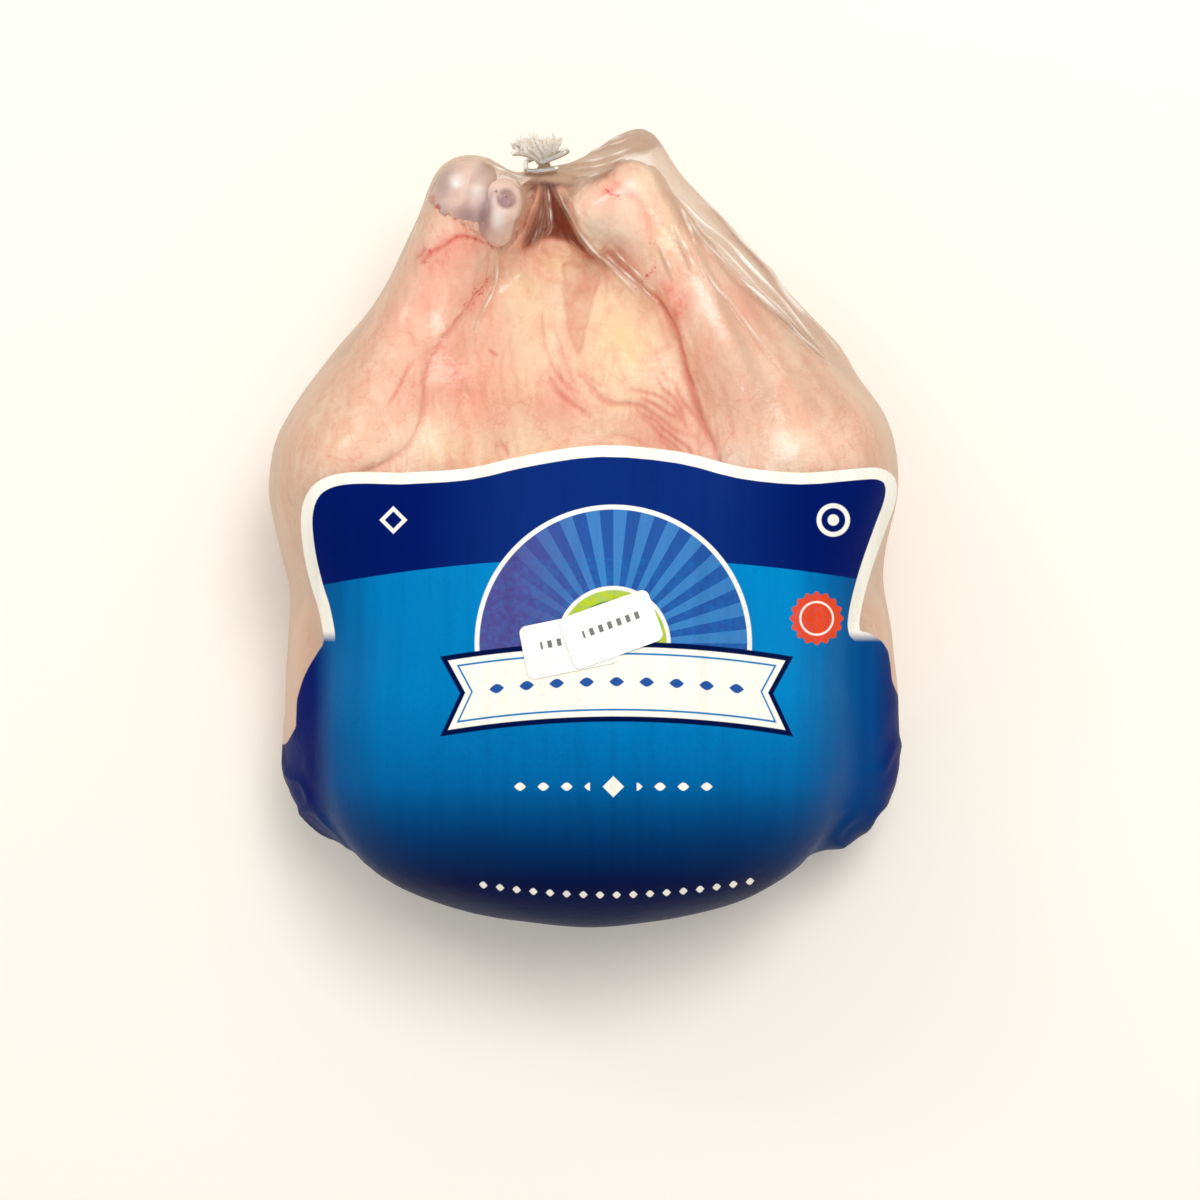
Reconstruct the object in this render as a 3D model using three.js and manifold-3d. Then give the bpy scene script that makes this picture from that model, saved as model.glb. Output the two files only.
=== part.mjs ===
// A whole raw chicken lying on its back in a clear bag, which is shrunk tight over it, gathered past the legs and
// closed with a wire clip. Two small paper labels are stuck on the bag, over the breast.
// Millimetres, +Z up. The breast is up, the legs point along +Y, and the origin is the middle of the base.
import * as THREE from "three";
import { mergeVertices } from "three/addons/utils/BufferGeometryUtils.js";
import Module from "manifold-3d";

const at = (x, y, z) => new THREE.Vector3(x, y, z);

// Driving dimensions of the bird, as the bag takes them up.
const BREAST_MIDDLE = at(1, -44, 56);
const BREAST_HALF = at(66, 74, 58);
const SHOULDER_MIDDLE = at(38, -64, 50);
const SHOULDER_HALF = at(41, 44.5, 43);
const BELLY_MIDDLE = at(0, 28, 42);
const BELLY_HALF = at(54, 62, 40);
const BACK_MIDDLE = at(0, -8, 37);
const BACK_HALF = at(72, 92, 39);
const THIGH_MIDDLE = at(56, 12, 44);
const THIGH_HALF = at(36.5, 47, 41);
const LEFT_KNEE_AT = at(-62, 16, 57);
const RIGHT_KNEE_AT = at(63, 20, 57);
const KNEE_RADIUS = 28.5;
const LEFT_HOCK_AT = at(-33, 98, 66);
const RIGHT_HOCK_AT = at(13, 98, 66);
const HOCK_RADIUS = 12.5;
const LEFT_WING_AT = at(-76, -53, 36);
const RIGHT_WING_AT = at(81, -52, 36);
const WING_HALF = at(15, 40, 24);

// Driving dimensions of the bag, its closure and the labels.
const TORSO_BRIDGE = 24;
const LEG_BRIDGE = 12;
const SMALL_BRIDGE = 6;
const NECK_AT = at(-11.5, 107, 66);
const NECK_ALONG = at(-0.12, 0.72, 0.68).normalize();
const NECK_RADIUS = 1.9;
const TAIL_LENGTH = 11;
const TAIL_RADIUS = 6;
const TAIL_PLEATS = 7;
const CLIP_WIRE = 1.8;
const CLIP_HALF_LONG = 5.2;
const CLIP_HALF_HIGH = 3.1;
const LABEL_LONG = 26;
const LABEL_WIDE = 15;
const LABEL_CORNER = 2;
const LABEL_THICK = 0.25;
const LOWER_LABEL_AT = at(-3.3, -33.3, 0);
const LOWER_LABEL_TURN = 0.2;
const UPPER_LABEL_AT = at(8.1, -29.2, 0);
const UPPER_LABEL_TURN = 0.345;
const TOUCHING_GAP = 0.3;

// How fine the surfaces are.
const BALL_DETAIL = 22;
const SIDES_PER_PLEAT = 6;
const WIRE_HALF_SIDES = 5;
const WIRE_STEPS = 44;
const LABEL_COLUMNS = 12;
const LABEL_ROWS = 7;
const SAME_SPOT = 1e-4;

const wasm = await Module();
wasm.setup();

// Distance to an ellipsoid that is turned about the vertical, near enough close to its surface.
const AT_MIDDLE = 1e-9;

function ellipsoid(middle, half, turn = 0) {
  const cos = Math.cos(turn);
  const sin = Math.sin(turn);
  return (p) => {
    const dx = p.x - middle.x;
    const dy = p.y - middle.y;
    const x = cos * dx + sin * dy;
    const y = cos * dy - sin * dx;
    const z = p.z - middle.z;
    const near = Math.hypot(x / half.x, y / half.y, z / half.z);
    const slope = Math.hypot(x / half.x ** 2, y / half.y ** 2, z / half.z ** 2);
    return slope > AT_MIDDLE ? (near * (near - 1)) / slope : -half.x;
  };
}

// Distance to a limb that tapers from one rounded end to the other. A thinning over 1 takes more of the taper early.
function limb(from, to, radiusFrom, radiusTo, thinning = 1) {
  const along = to.clone().sub(from);
  const offset = at(0, 0, 0);
  return (p) => {
    offset.copy(p).sub(from);
    const t = THREE.MathUtils.clamp(offset.dot(along) / along.lengthSq(), 0, 1);
    const taken = 1 - (1 - t) ** thinning;
    return offset.addScaledVector(along, -t).length() - THREE.MathUtils.lerp(radiusFrom, radiusTo, taken);
  };
}

// Joins distances with a fillet, where the film bridges from one form to the next.
function bridged(forms, width) {
  return (p) =>
    forms
      .map((form) => form(p))
      .reduce((a, b) => {
        const share = Math.max(width - Math.abs(a - b), 0) / width;
        return Math.min(a, b) - (share * share * width) / 4;
      });
}

const mirrored = (v, side) => at(side * v.x, v.y, v.z);

// The body and thighs, with the film wide over the hollows between them.
const torso = bridged(
  [
    ellipsoid(BREAST_MIDDLE, BREAST_HALF),
    ellipsoid(BELLY_MIDDLE, BELLY_HALF),
    ellipsoid(BACK_MIDDLE, BACK_HALF),
    ...[-1, 1].flatMap((side) => [
      ellipsoid(mirrored(SHOULDER_MIDDLE, side), SHOULDER_HALF, side * 0.25),
      ellipsoid(mirrored(THIGH_MIDDLE, side), THIGH_HALF, side * 0.1),
    ]),
  ],
  TORSO_BRIDGE,
);

// The folded wings, with the last joint tucked in towards the neck.
const wings = [
  ellipsoid(LEFT_WING_AT, WING_HALF),
  limb(at(-75, -74, 34), at(-64, -82, 38), 14, 9),
  ellipsoid(RIGHT_WING_AT, WING_HALF),
  limb(at(81, -72, 34), at(74, -86, 38), 14, 10),
];

// The drumsticks aren't alike: the left one points along the bag, and the right one leans in to the middle.
const DRUMSTICK_THINNING = 1.8;
const legs = [
  limb(LEFT_KNEE_AT, LEFT_HOCK_AT, KNEE_RADIUS, HOCK_RADIUS, DRUMSTICK_THINNING),
  limb(RIGHT_KNEE_AT, RIGHT_HOCK_AT, KNEE_RADIUS, HOCK_RADIUS + 1, DRUMSTICK_THINNING),
];

// The knobs of the bone ends, the gathered neck of the bag, and the film that stands taut: from the neck to both bone
// ends, in a free corner past the right one, and from there down to the thigh.
const GATHERED_AT = NECK_AT.clone().addScaledVector(NECK_ALONG, -9);
const CORNER_AT = at(17, 112, 66);
const smallForms = [
  limb(at(-25, 84, 68), at(-22.5, 96, 77), 8, 7),
  limb(at(4, 88, 68), at(2, 92, 74), 9, 8),
  limb(at(-10, 84, 56), GATHERED_AT, 15, 5),
  limb(GATHERED_AT, CORNER_AT, 5, 4.5),
  limb(GATHERED_AT, LEFT_HOCK_AT, 3, 8),
  limb(RIGHT_HOCK_AT, CORNER_AT, 10, 4.5),
  limb(at(23, 103, 62), at(70, 50, 55), 6, 8),
];

const bagged = bridged([bridged([torso, ...wings, ...legs], LEG_BRIDGE), ...smallForms], SMALL_BRIDGE);

// The skin of the bag starts as a fine ball round a flat core. Each corner is drawn in along its own ray to the film.
const CORE_HALF_WIDE = 46;
const CORE_HALF_LONG = 70;
const CORE_HIGH = 40;
const REACH = 150;
const STEP_SHARE = 0.6;
const CLOSE = 0.02;
// The rays lean towards the bone ends and the gathered neck, where the forms are small.
const LEAN = at(0, 0.3, 0.16);

function drawnIn(corner) {
  const way = corner.add(LEAN).normalize();
  const start = at(way.x * CORE_HALF_WIDE, way.y * CORE_HALF_LONG, CORE_HIGH);
  const p = at(0, 0, 0);
  let out = REACH;
  let gap = bagged(p.copy(start).addScaledVector(way, out));
  while (gap > CLOSE && out > 0) {
    out -= Math.max(gap * STEP_SHARE, CLOSE);
    gap = bagged(p.copy(start).addScaledVector(way, out));
  }
  return p;
}

// The slope of the distance at a point, which points straight out of the film.
const SLOPE_STEP = 0.05;

function slopeAt(p) {
  const rise = (x, y, z) => bagged(at(p.x + x, p.y + y, p.z + z)) - bagged(at(p.x - x, p.y - y, p.z - z));
  return at(rise(SLOPE_STEP, 0, 0), rise(0, SLOPE_STEP, 0), rise(0, 0, SLOPE_STEP)).divideScalar(2 * SLOPE_STEP);
}

// The corners are then evened out along the film, closer together near the bone ends.
const EVENING_ROUNDS = 24;
const KEPT_SHARE = 0.3;
const FINE_FROM = 55;
const FINE_TO = 100;
const FINE_WEIGHT = 2.5;
const LEAST_SLOPE = 0.25;

function evened(points, beside) {
  const weights = points.map((p) => 1 + FINE_WEIGHT * THREE.MathUtils.smoothstep(p.y, FINE_FROM, FINE_TO));
  return points.map((p, i) => {
    const mean = at(0, 0, 0);
    let sum = 0;
    for (const j of beside[i]) {
      mean.addScaledVector(points[j], weights[j]);
      sum += weights[j];
    }
    mean.divideScalar(sum).lerp(p, KEPT_SHARE);
    const slope = slopeAt(mean);
    return mean.addScaledVector(slope, -bagged(mean) / Math.max(slope.lengthSq(), LEAST_SLOPE));
  });
}

function bagGeometry() {
  const ball = new THREE.IcosahedronGeometry(1, BALL_DETAIL);
  ball.deleteAttribute("normal");
  ball.deleteAttribute("uv");
  const skin = mergeVertices(ball, SAME_SPOT);
  const corners = skin.getAttribute("position");
  const faces = skin.index.array;
  let points = Array.from({ length: corners.count }, (_, i) => drawnIn(at(0, 0, 0).fromBufferAttribute(corners, i)));
  const beside = points.map(() => new Set());
  for (let f = 0; f < faces.length; f += 3) {
    const [a, b, c] = [faces[f], faces[f + 1], faces[f + 2]];
    beside[a].add(b).add(c);
    beside[b].add(c).add(a);
    beside[c].add(a).add(b);
  }
  for (let round = 0; round < EVENING_ROUNDS; round++) points = evened(points, beside);
  points.forEach((p, i) => corners.setXYZ(i, p.x, p.y, p.z));
  return skin;
}

// The gathered film runs through the clip as a thin neck and opens past it in a short pleated tail. The profile gives
// the radius and the distance from the clip, along the neck.
const TAIL_PLEAT_SHARE = 0.28;
const TAIL_FLATTENED = 0.35;

function neckAndTail() {
  const profile = [
    [0, -11],
    [4.2, -11],
    [3.9, -6],
    [NECK_RADIUS + 0.2, -3],
    [NECK_RADIUS, -1.4],
    [NECK_RADIUS, 1.4],
    [NECK_RADIUS + 0.5, 3],
    [TAIL_RADIUS * 0.62, TAIL_LENGTH * 0.6],
    [TAIL_RADIUS * 0.9, TAIL_LENGTH * 0.88],
    [TAIL_RADIUS, TAIL_LENGTH],
    [TAIL_RADIUS * 0.6, TAIL_LENGTH * 0.86],
    [0, TAIL_LENGTH * 0.62],
  ].map(([radius, along]) => new THREE.Vector2(radius, along));
  const tail = new THREE.LatheGeometry(profile, TAIL_PLEATS * SIDES_PER_PLEAT);
  const corners = tail.getAttribute("position");
  for (let i = 0; i < corners.count; i++) {
    const [x, y, z] = [corners.getX(i), corners.getY(i), corners.getZ(i)];
    const opened = THREE.MathUtils.smoothstep(y, 2, TAIL_LENGTH);
    const pleat = 1 + TAIL_PLEAT_SHARE * opened * Math.cos(TAIL_PLEATS * Math.atan2(z, x));
    corners.setXYZ(i, x * pleat, y, z * pleat * (1 - TAIL_FLATTENED * opened));
  }
  const turn = new THREE.Quaternion().setFromUnitVectors(at(0, 1, 0), NECK_ALONG);
  return tail.applyQuaternion(turn).translate(NECK_AT.x, NECK_AT.y, NECK_AT.z);
}

// The clip is one soft wire, bent round the neck and pressed shut, with its far leg turned back on itself. Each place
// is a share of the half length, a share of the half height and a distance along the neck.
const CLIP_ACROSS = at(1, 0.1, 0.08).normalize();

function clipGeometry() {
  const up = CLIP_ACROSS.clone().cross(NECK_ALONG).normalize();
  const places = [
    [0.85, 1, 0],
    [-0.5, 1.04, 0],
    [-0.95, 0.62, 0],
    [-1, -0.6, 0],
    [-0.55, -1.04, 0.3],
    [0.3, -1.12, 0.9],
    [1.05, -1.3, 1.7],
    [1.55, -1.25, 2.2],
    [1.4, -0.75, 2.3],
    [0.9, -0.5, 1.9],
  ].map(([long, high, along]) =>
    NECK_AT.clone()
      .addScaledVector(CLIP_ACROSS, long * CLIP_HALF_LONG)
      .addScaledVector(up, high * CLIP_HALF_HIGH)
      .addScaledVector(NECK_ALONG, along),
  );
  const round = new THREE.Shape().absarc(0, 0, CLIP_WIRE / 2, 0, 2 * Math.PI);
  return new THREE.ExtrudeGeometry(round, {
    extrudePath: new THREE.CatmullRomCurve3(places),
    steps: WIRE_STEPS,
    curveSegments: WIRE_HALF_SIDES,
  });
}

// The point of the film that a spot seen from above lies on, lifted clear of it.
function onFilm(x, y, lift) {
  const p = at(x, y, REACH);
  for (let gap = bagged(p); gap > CLOSE; gap = bagged(p)) p.z -= Math.max(gap * STEP_SHARE, CLOSE);
  return p.addScaledVector(slopeAt(p).normalize(), lift);
}

// A label is a round-cornered slip of paper that takes the curve of the film under it.
function labelGeometry(middle, turn, lift) {
  const [long, wide, corner] = [LABEL_LONG / 2, LABEL_WIDE / 2, LABEL_CORNER];
  const slip = new THREE.BoxGeometry(2, 2, 1, LABEL_COLUMNS, LABEL_ROWS, 1);
  slip.deleteAttribute("normal");
  slip.deleteAttribute("uv");
  const paper = mergeVertices(slip, SAME_SPOT);
  const corners = paper.getAttribute("position");
  for (let i = 0; i < corners.count; i++) {
    const u = corners.getX(i);
    const v = corners.getY(i);
    // The ends are drawn in beside the corners, so that these come out round.
    const pastStraight = Math.max(0, (Math.abs(v) * wide - wide + corner) / corner);
    const drawn = corner * (1 - Math.sqrt(1 - Math.min(1, pastStraight ** 2)));
    const x = u * (long - drawn);
    const y = v * wide;
    const spotX = middle.x + x * Math.cos(turn) - y * Math.sin(turn);
    const spotY = middle.y + x * Math.sin(turn) + y * Math.cos(turn);
    const p = onFilm(spotX, spotY, lift + (corners.getZ(i) > 0 ? LABEL_THICK : 0));
    corners.setXYZ(i, p.x, p.y, p.z);
  }
  return paper;
}

// A closed three.js geometry as a solid that can be joined and cut.
function solid(geometry) {
  const plain = geometry.clone();
  plain.deleteAttribute("normal");
  plain.deleteAttribute("uv");
  const merged = mergeVertices(plain, SAME_SPOT);
  return new wasm.Manifold(
    new wasm.Mesh({
      numProp: 3,
      vertProperties: merged.getAttribute("position").array,
      triVerts: new Uint32Array(merged.index.array),
    }),
  );
}

function geometryOf(made) {
  const { vertProperties, triVerts } = made.getMesh();
  return new THREE.BufferGeometry()
    .setAttribute("position", new THREE.BufferAttribute(vertProperties, 3))
    .setIndex(new THREE.BufferAttribute(triVerts, 1));
}

// The bird lies on a flat patch of its back.
const CUT_WIDE = 400;
const CUT_DEEP = 60;
const table = new THREE.BoxGeometry(CUT_WIDE, CUT_WIDE, CUT_DEEP).translate(0, 0, -CUT_DEEP / 2);
const bag = geometryOf(solid(bagGeometry()).add(solid(neckAndTail())).subtract(solid(table)));

const film = new THREE.MeshStandardMaterial({ color: 0xe8c4ae, roughness: 0.2, metalness: 0 });
const wire = new THREE.MeshStandardMaterial({ color: 0xb9b9b0, roughness: 0.35, metalness: 1 });
const paper = new THREE.MeshStandardMaterial({ color: 0xf7f5f0, roughness: 0.7, metalness: 0 });

const chicken = new THREE.Group();
function piece(name, geometry, material) {
  const mesh = new THREE.Mesh(geometry, material);
  mesh.name = name;
  chicken.add(mesh);
}
piece("bagged_chicken", bag, film);
piece("wire_clip", clipGeometry(), wire);
piece("lower_label", labelGeometry(LOWER_LABEL_AT, LOWER_LABEL_TURN, TOUCHING_GAP), paper);
piece("upper_label", labelGeometry(UPPER_LABEL_AT, UPPER_LABEL_TURN, 2 * TOUCHING_GAP + LABEL_THICK), paper);

// The origin is the middle of the base.
const reach = new THREE.Box3().setFromObject(chicken);
const middle = reach.getCenter(at(0, 0, 0));
chicken.position.set(-middle.x, -middle.y, -reach.min.z);

export default chicken;
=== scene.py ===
import math

import bpy
import numpy as np
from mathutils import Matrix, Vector
from mathutils.bvhtree import BVHTree


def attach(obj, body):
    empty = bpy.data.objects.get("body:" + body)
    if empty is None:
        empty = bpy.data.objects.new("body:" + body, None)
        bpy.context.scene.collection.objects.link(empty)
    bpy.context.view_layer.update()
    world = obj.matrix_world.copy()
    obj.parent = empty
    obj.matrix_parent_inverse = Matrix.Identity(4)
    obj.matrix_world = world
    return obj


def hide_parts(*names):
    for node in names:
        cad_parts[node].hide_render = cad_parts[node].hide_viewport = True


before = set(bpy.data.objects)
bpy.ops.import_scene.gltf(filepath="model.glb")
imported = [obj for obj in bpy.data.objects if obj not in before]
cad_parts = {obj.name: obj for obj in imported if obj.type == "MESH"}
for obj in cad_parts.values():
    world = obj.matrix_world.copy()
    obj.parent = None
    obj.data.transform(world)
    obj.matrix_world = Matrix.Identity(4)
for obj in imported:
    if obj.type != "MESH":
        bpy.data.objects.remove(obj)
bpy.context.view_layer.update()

# The bag is a tube of clear film that is shrunk tight over the bird in hot water. It bridges the hollows
# between the legs, and stands in sharp pleats where it was gathered towards the neck and pulled over both
# bone ends.
MM = 0.001
NECK = np.array([-13.3, 107.0, 66.0])
NECK_WAY = np.array([-0.12, 0.72, 0.68]) / math.hypot(0.12, 0.72, 0.68)
FILM_GRAIN = 1.7
SAME_SPOT = 0.01
TAIL_REACH = 10.0
TAIL_FROM = 1.5
HELD_BY_CLIP = (4, 14)
FREE_CORNER = np.array([17.0, 113.0, 66.0])
CORNER_PULL = np.array([0.4, 3.4, 1.2])
CORNER_SIZE = 8.0
PLAN_MIDDLE = (3.3, -21.0)
PLAN_HEIGHT = 800.0
PLAN_LEVEL = 50.0


def alone(piece):
    """Makes a piece the only one that is selected."""
    bpy.ops.object.select_all(action="DESELECT")
    piece.select_set(True)
    bpy.context.view_layer.objects.active = piece


def worked(piece, kind, **settings):
    """Adds a modifier to a piece and applies it."""
    alone(piece)
    modifier = piece.modifiers.new("work", kind)
    for name, value in settings.items():
        setattr(modifier, name, value)
    bpy.ops.object.modifier_apply(modifier=modifier.name)


def points_of(piece):
    """The corners of a piece, in millimetres."""
    flat = np.empty(3 * len(piece.data.vertices), dtype=np.float32)
    piece.data.vertices.foreach_get("co", flat)
    return flat.reshape(-1, 3).astype(float) / MM


def set_points(piece, points):
    """Moves the corners of a piece to points in millimetres."""
    piece.data.vertices.foreach_set("co", (points * MM).astype(np.float32).ravel())
    piece.data.update()


def normals_of(piece):
    """The way out of the surface at each corner."""
    flat = np.empty(3 * len(piece.data.vertices), dtype=np.float32)
    piece.data.vertices.foreach_get("normal", flat)
    return flat.reshape(-1, 3).astype(float)


def faces_chosen(piece, chosen):
    """Opens a piece for editing with only the chosen faces selected, those with any chosen corner."""
    alone(piece)
    mesh = piece.data
    starts = np.empty(len(mesh.polygons), dtype=np.int32)
    mesh.polygons.foreach_get("loop_start", starts)
    corners = np.empty(len(mesh.loops), dtype=np.int32)
    mesh.loops.foreach_get("vertex_index", corners)
    faces = np.logical_or.reduceat(chosen[corners], starts)
    mesh.vertices.foreach_set("select", np.zeros(len(mesh.vertices), dtype=bool))
    mesh.edges.foreach_set("select", np.zeros(len(mesh.edges), dtype=bool))
    mesh.polygons.foreach_set("select", faces)
    bpy.context.tool_settings.mesh_select_mode = (False, False, True)
    bpy.ops.object.mode_set(mode="EDIT")


def refined(piece, chosen):
    """Splits the faces round the chosen corners in four."""
    faces_chosen(piece, chosen)
    bpy.ops.mesh.subdivide(number_cuts=1, ngon=False)
    bpy.ops.object.mode_set(mode="OBJECT")


def evened(piece, rounds, share=0.5):
    """Draws each corner towards the middle of its neighbours, by one share or one for each corner."""
    points = points_of(piece)
    ends = np.empty(2 * len(piece.data.edges), dtype=np.int32)
    piece.data.edges.foreach_get("vertices", ends)
    a, b = ends[::2], ends[1::2]
    neighbours = np.bincount(ends, minlength=len(points))[:, None]
    for _ in range(rounds):
        total = np.empty_like(points)
        for axis in range(3):
            near_a = np.bincount(a, points[b, axis], len(points))
            near_b = np.bincount(b, points[a, axis], len(points))
            total[:, axis] = near_a + near_b
        points += np.reshape(share, (-1, 1)) * (total / neighbours - points)
    set_points(piece, points)


def eased(amount, start, end):
    """0 before start and 1 past end, with a soft change between them."""
    t = np.clip((amount - start) / (end - start), 0, 1)
    return t * t * (3 - 2 * t)


def in_plan(points):
    """Where points show from straight above, in millimetres from the middle of the view."""
    nearness = (PLAN_HEIGHT - PLAN_LEVEL) / (PLAN_HEIGHT - points[:, 2])
    return (points[:, :2] - PLAN_MIDDLE) * nearness[:, None]


def curved(path, steps=6):
    """A smooth line through the points of a path."""
    path = np.array(path, float)
    ends = np.vstack([2 * path[0] - path[1], path, 2 * path[-1] - path[-2]])
    line = [path[0]]
    for before, start, end, after in zip(ends, ends[1:], ends[2:], ends[3:]):
        for t in np.arange(1, steps + 1) / steps:
            bend = 2 * start + t * (end - before)
            bend = bend + t * t * (2 * before - 5 * start + 4 * end - after)
            line.append(0.5 * (bend + t**3 * (3 * start - before - 3 * end + after)))
    return np.array(line)


def beside(places, line):
    """How far places lie from a line, on which side (left is positive), and how far along it, from 0 to 1."""
    gap = np.full(len(places), np.inf)
    side = np.ones(len(places))
    along = np.zeros(len(places))
    lengths = np.hypot(*np.diff(line, axis=0).T)
    reached = np.concatenate([[0], np.cumsum(lengths)]) / lengths.sum()
    for start, end, from_share, to_share in zip(line, line[1:], reached, reached[1:]):
        way = end - start
        offset = places - start
        t = np.clip((offset @ way) / (way @ way), 0, 1)
        miss = offset - t[:, None] * way
        here = np.hypot(miss[:, 0], miss[:, 1])
        nearer = here < gap
        gap[nearer] = here[nearer]
        side[nearer] = np.where(way[0] * miss[:, 1] - way[1] * miss[:, 0] > 0, 1, -1)[nearer]
        along[nearer] = (from_share + t * (to_share - from_share))[nearer]
    return gap, side, along


def crumple(points, size, seed):
    """A soft uneven swell over the points, mostly from -1 to 1, with waves about size millimetres long."""
    chance = np.random.default_rng(seed)
    swell = np.zeros(len(points))
    swells = 14
    for _ in range(swells):
        way = chance.normal(size=3)
        way *= 2 * math.pi / (np.linalg.norm(way) * size * chance.uniform(0.7, 1.5))
        swell += np.sin(points @ way + chance.uniform(0, 2 * math.pi))
    return swell / math.sqrt(swells / 2)


def kept_values(piece, **values):
    """Keeps numbers for each corner of a piece under names that its material reads."""
    for name, numbers in values.items():
        layer = piece.data.attributes.new(name, "FLOAT", "POINT")
        layer.data.foreach_set("value", np.asarray(numbers, dtype=np.float32))


def merged(piece):
    """Merges the corners that lie on one spot and points every face outwards."""
    alone(piece)
    bpy.ops.object.mode_set(mode="EDIT")
    bpy.ops.mesh.select_all(action="SELECT")
    bpy.ops.mesh.remove_doubles(threshold=SAME_SPOT * MM)
    bpy.ops.mesh.normals_make_consistent(inside=False)
    bpy.ops.object.mode_set(mode="OBJECT")


def near_lines(piece, lines, reach, least_up):
    """True for each corner of a piece that lies near one of the lines in plan, where the piece faces up."""
    places = in_plan(points_of(piece))
    near = np.zeros(len(places), dtype=bool)
    for line in lines:
        near |= beside(places, line)[0] < reach
    return near & (normals_of(piece)[:, 2] > least_up)


film = bpy.data.objects.new("bag_film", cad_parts["bagged_chicken"].data.copy())
bpy.context.scene.collection.objects.link(film)
merged(film)
worked(film, "REMESH", mode="VOXEL", voxel_size=FILM_GRAIN * MM)

# The tail past the clip is made on its own, so here the film stops in the clip and is closed there.
past = points_of(film) - NECK
along_neck = past @ NECK_WAY
off_neck = np.linalg.norm(past - along_neck[:, None] * NECK_WAY, axis=1)
faces_chosen(film, (along_neck > TAIL_FROM) & (off_neck < TAIL_REACH))
bpy.ops.mesh.delete(type="FACE")
bpy.ops.mesh.select_all(action="SELECT")
bpy.ops.mesh.fill_holes(sides=0)
bpy.ops.object.mode_set(mode="OBJECT")
by_neck = np.linalg.norm(points_of(film) - NECK, axis=1)
evened(film, 12, 0.5 * eased(by_neck, *HELD_BY_CLIP))
smooth = points_of(film)
smooth[:, 2] = np.maximum(smooth[:, 2], 0)
from_corner = np.linalg.norm(smooth - FREE_CORNER, axis=1)
smooth += CORNER_PULL * np.exp(-((from_corner / CORNER_SIZE) ** 2))[:, None]
set_points(film, smooth)

# Each pleat is a path in plan, the height it stands and how wide it is at a third of that. The first group
# fans out from the free corner over the right leg, the second crosses the gap between the legs, and the third
# the left leg.
PLEATS = [
    ([(21, 122.4), (25.2, 118.5), (30, 113.4), (36, 109.2), (40.5, 105), (45.6, 99), (51, 93),
      (57, 86.4), (68.7, 71.1)], 1.2, 0.6),
    ([(27, 115.5), (30.9, 110.4), (36, 106.2), (42, 99.6), (48, 92.4), (54.6, 86.4), (61.5, 78.6),
      (69, 70.8)], 0.7, 0.5),
    ([(28.2, 113.4), (30, 108.6), (36.6, 101.4), (41.4, 96), (48, 90.6), (54.6, 84.6), (60, 78.6),
      (69, 70.8)], 1.1, 0.6),
    ([(28.8, 106.5), (31.2, 99.6), (34.8, 93.6), (39, 89.4), (43.5, 83.4), (48, 77.4), (52.5, 72),
      (57, 66)], 0.8, 0.5),
    ([(32.4, 77.4), (36.6, 72), (40.5, 66.6), (42.6, 62.4)], 0.5, 0.5),
    ([(29.1, 120), (33.6, 116.4), (38.4, 111.6), (43.5, 106.5), (48.6, 101.4), (55.5, 91.2), (66, 80.4),
      (72, 73.2)], 1.4, 0.8),
    ([(17.4, 108), (19.8, 102.6), (22.8, 95.4)], 0.8, 0.6),
    ([(21.6, 113.4), (25.8, 105), (29.1, 97.8)], 0.9, 0.8),
    ([(22.8, 120), (27, 111), (29.1, 105.6)], 0.8, 0.5),
    ([(24, 118.5), (30, 108), (33.6, 102.6), (36.6, 99.6)], 0.6, 0.5),
    ([(-14.4, 126), (-10.2, 118.5), (-6, 111), (-2.4, 105.9), (4.2, 99), (9, 94.2), (14.4, 88.8)], 1.2, 0.6),
    ([(-4.5, 109.2), (0.6, 103.2), (6.6, 97.8), (12, 92.7), (16.5, 87.6)], 0.7, 0.4),
    ([(-2.4, 108), (3, 102.6), (9.6, 96.6), (14.4, 91.2)], 0.5, 0.4),
    ([(0.4, 105.4), (4.4, 101.2), (9, 97), (13, 93.4), (17.4, 88.6)], 1.3, 0.5),
    ([(2.4, 107), (7.6, 101.6), (12, 97.4), (16.4, 92.2)], 1.0, 0.4),
    ([(-16.2, 126), (-15.6, 123), (-14.7, 117), (-14.4, 111.6), (-16.2, 108.6)], 0.9, 0.5),
    ([(-12, 124.2), (-7.8, 118.5), (-4.8, 113.4)], 0.6, 0.4),
    ([(-20.4, 105), (-17.7, 111), (-16.5, 118.5)], 0.4, 0.4),
    ([(-22.5, 101.4), (-19.8, 108), (-18, 115.5), (-16.8, 123)], 0.55, 0.5),
    ([(-25.5, 102.6), (-21.9, 109.5), (-19.2, 116.4), (-17.4, 123)], 0.4, 0.5),
    ([(-30, 101.4), (-24.6, 108), (-21, 115.5), (-18, 124.2)], 0.45, 0.5),
    ([(-10.2, 134.4), (-3, 135.6), (4.5, 138), (12, 140.1)], 0.5, 0.6),
    ([(-9, 130.5), (0, 132), (8.4, 135), (13.5, 137.4)], 0.5, 0.6),
    ([(-11, 132.6), (-4, 133.8), (3.5, 136.2), (11.4, 139)], 0.5, 0.4),
    ([(-9.4, 128.8), (-3, 129.4), (4, 131.4), (10.6, 134.4)], 0.5, 0.4),
    ([(-8.6, 127), (-3.6, 126.8), (1.6, 128.4), (6.8, 131)], 0.4, 0.4),
    ([(-30.6, 106), (-31.5, 94.5), (-34.8, 87), (-37.5, 80.4)], 0.9, 0.45),
    ([(-19.5, 126), (-25.5, 127.2), (-30.9, 129.6), (-35.4, 132)], 0.7, 0.5),
    ([(-18.6, 127.2), (-24, 129), (-30, 132), (-34.2, 132.9)], 0.7, 0.5),
    ([(-20.4, 124.8), (-26.4, 126), (-30.9, 127.8)], 0.6, 0.4),
    ([(-48, 128.4), (-52.5, 118.5), (-58.5, 101.4)], 0.4, 0.6),
]
PLEAT_REACHES = (3.4, 1.4)
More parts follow.
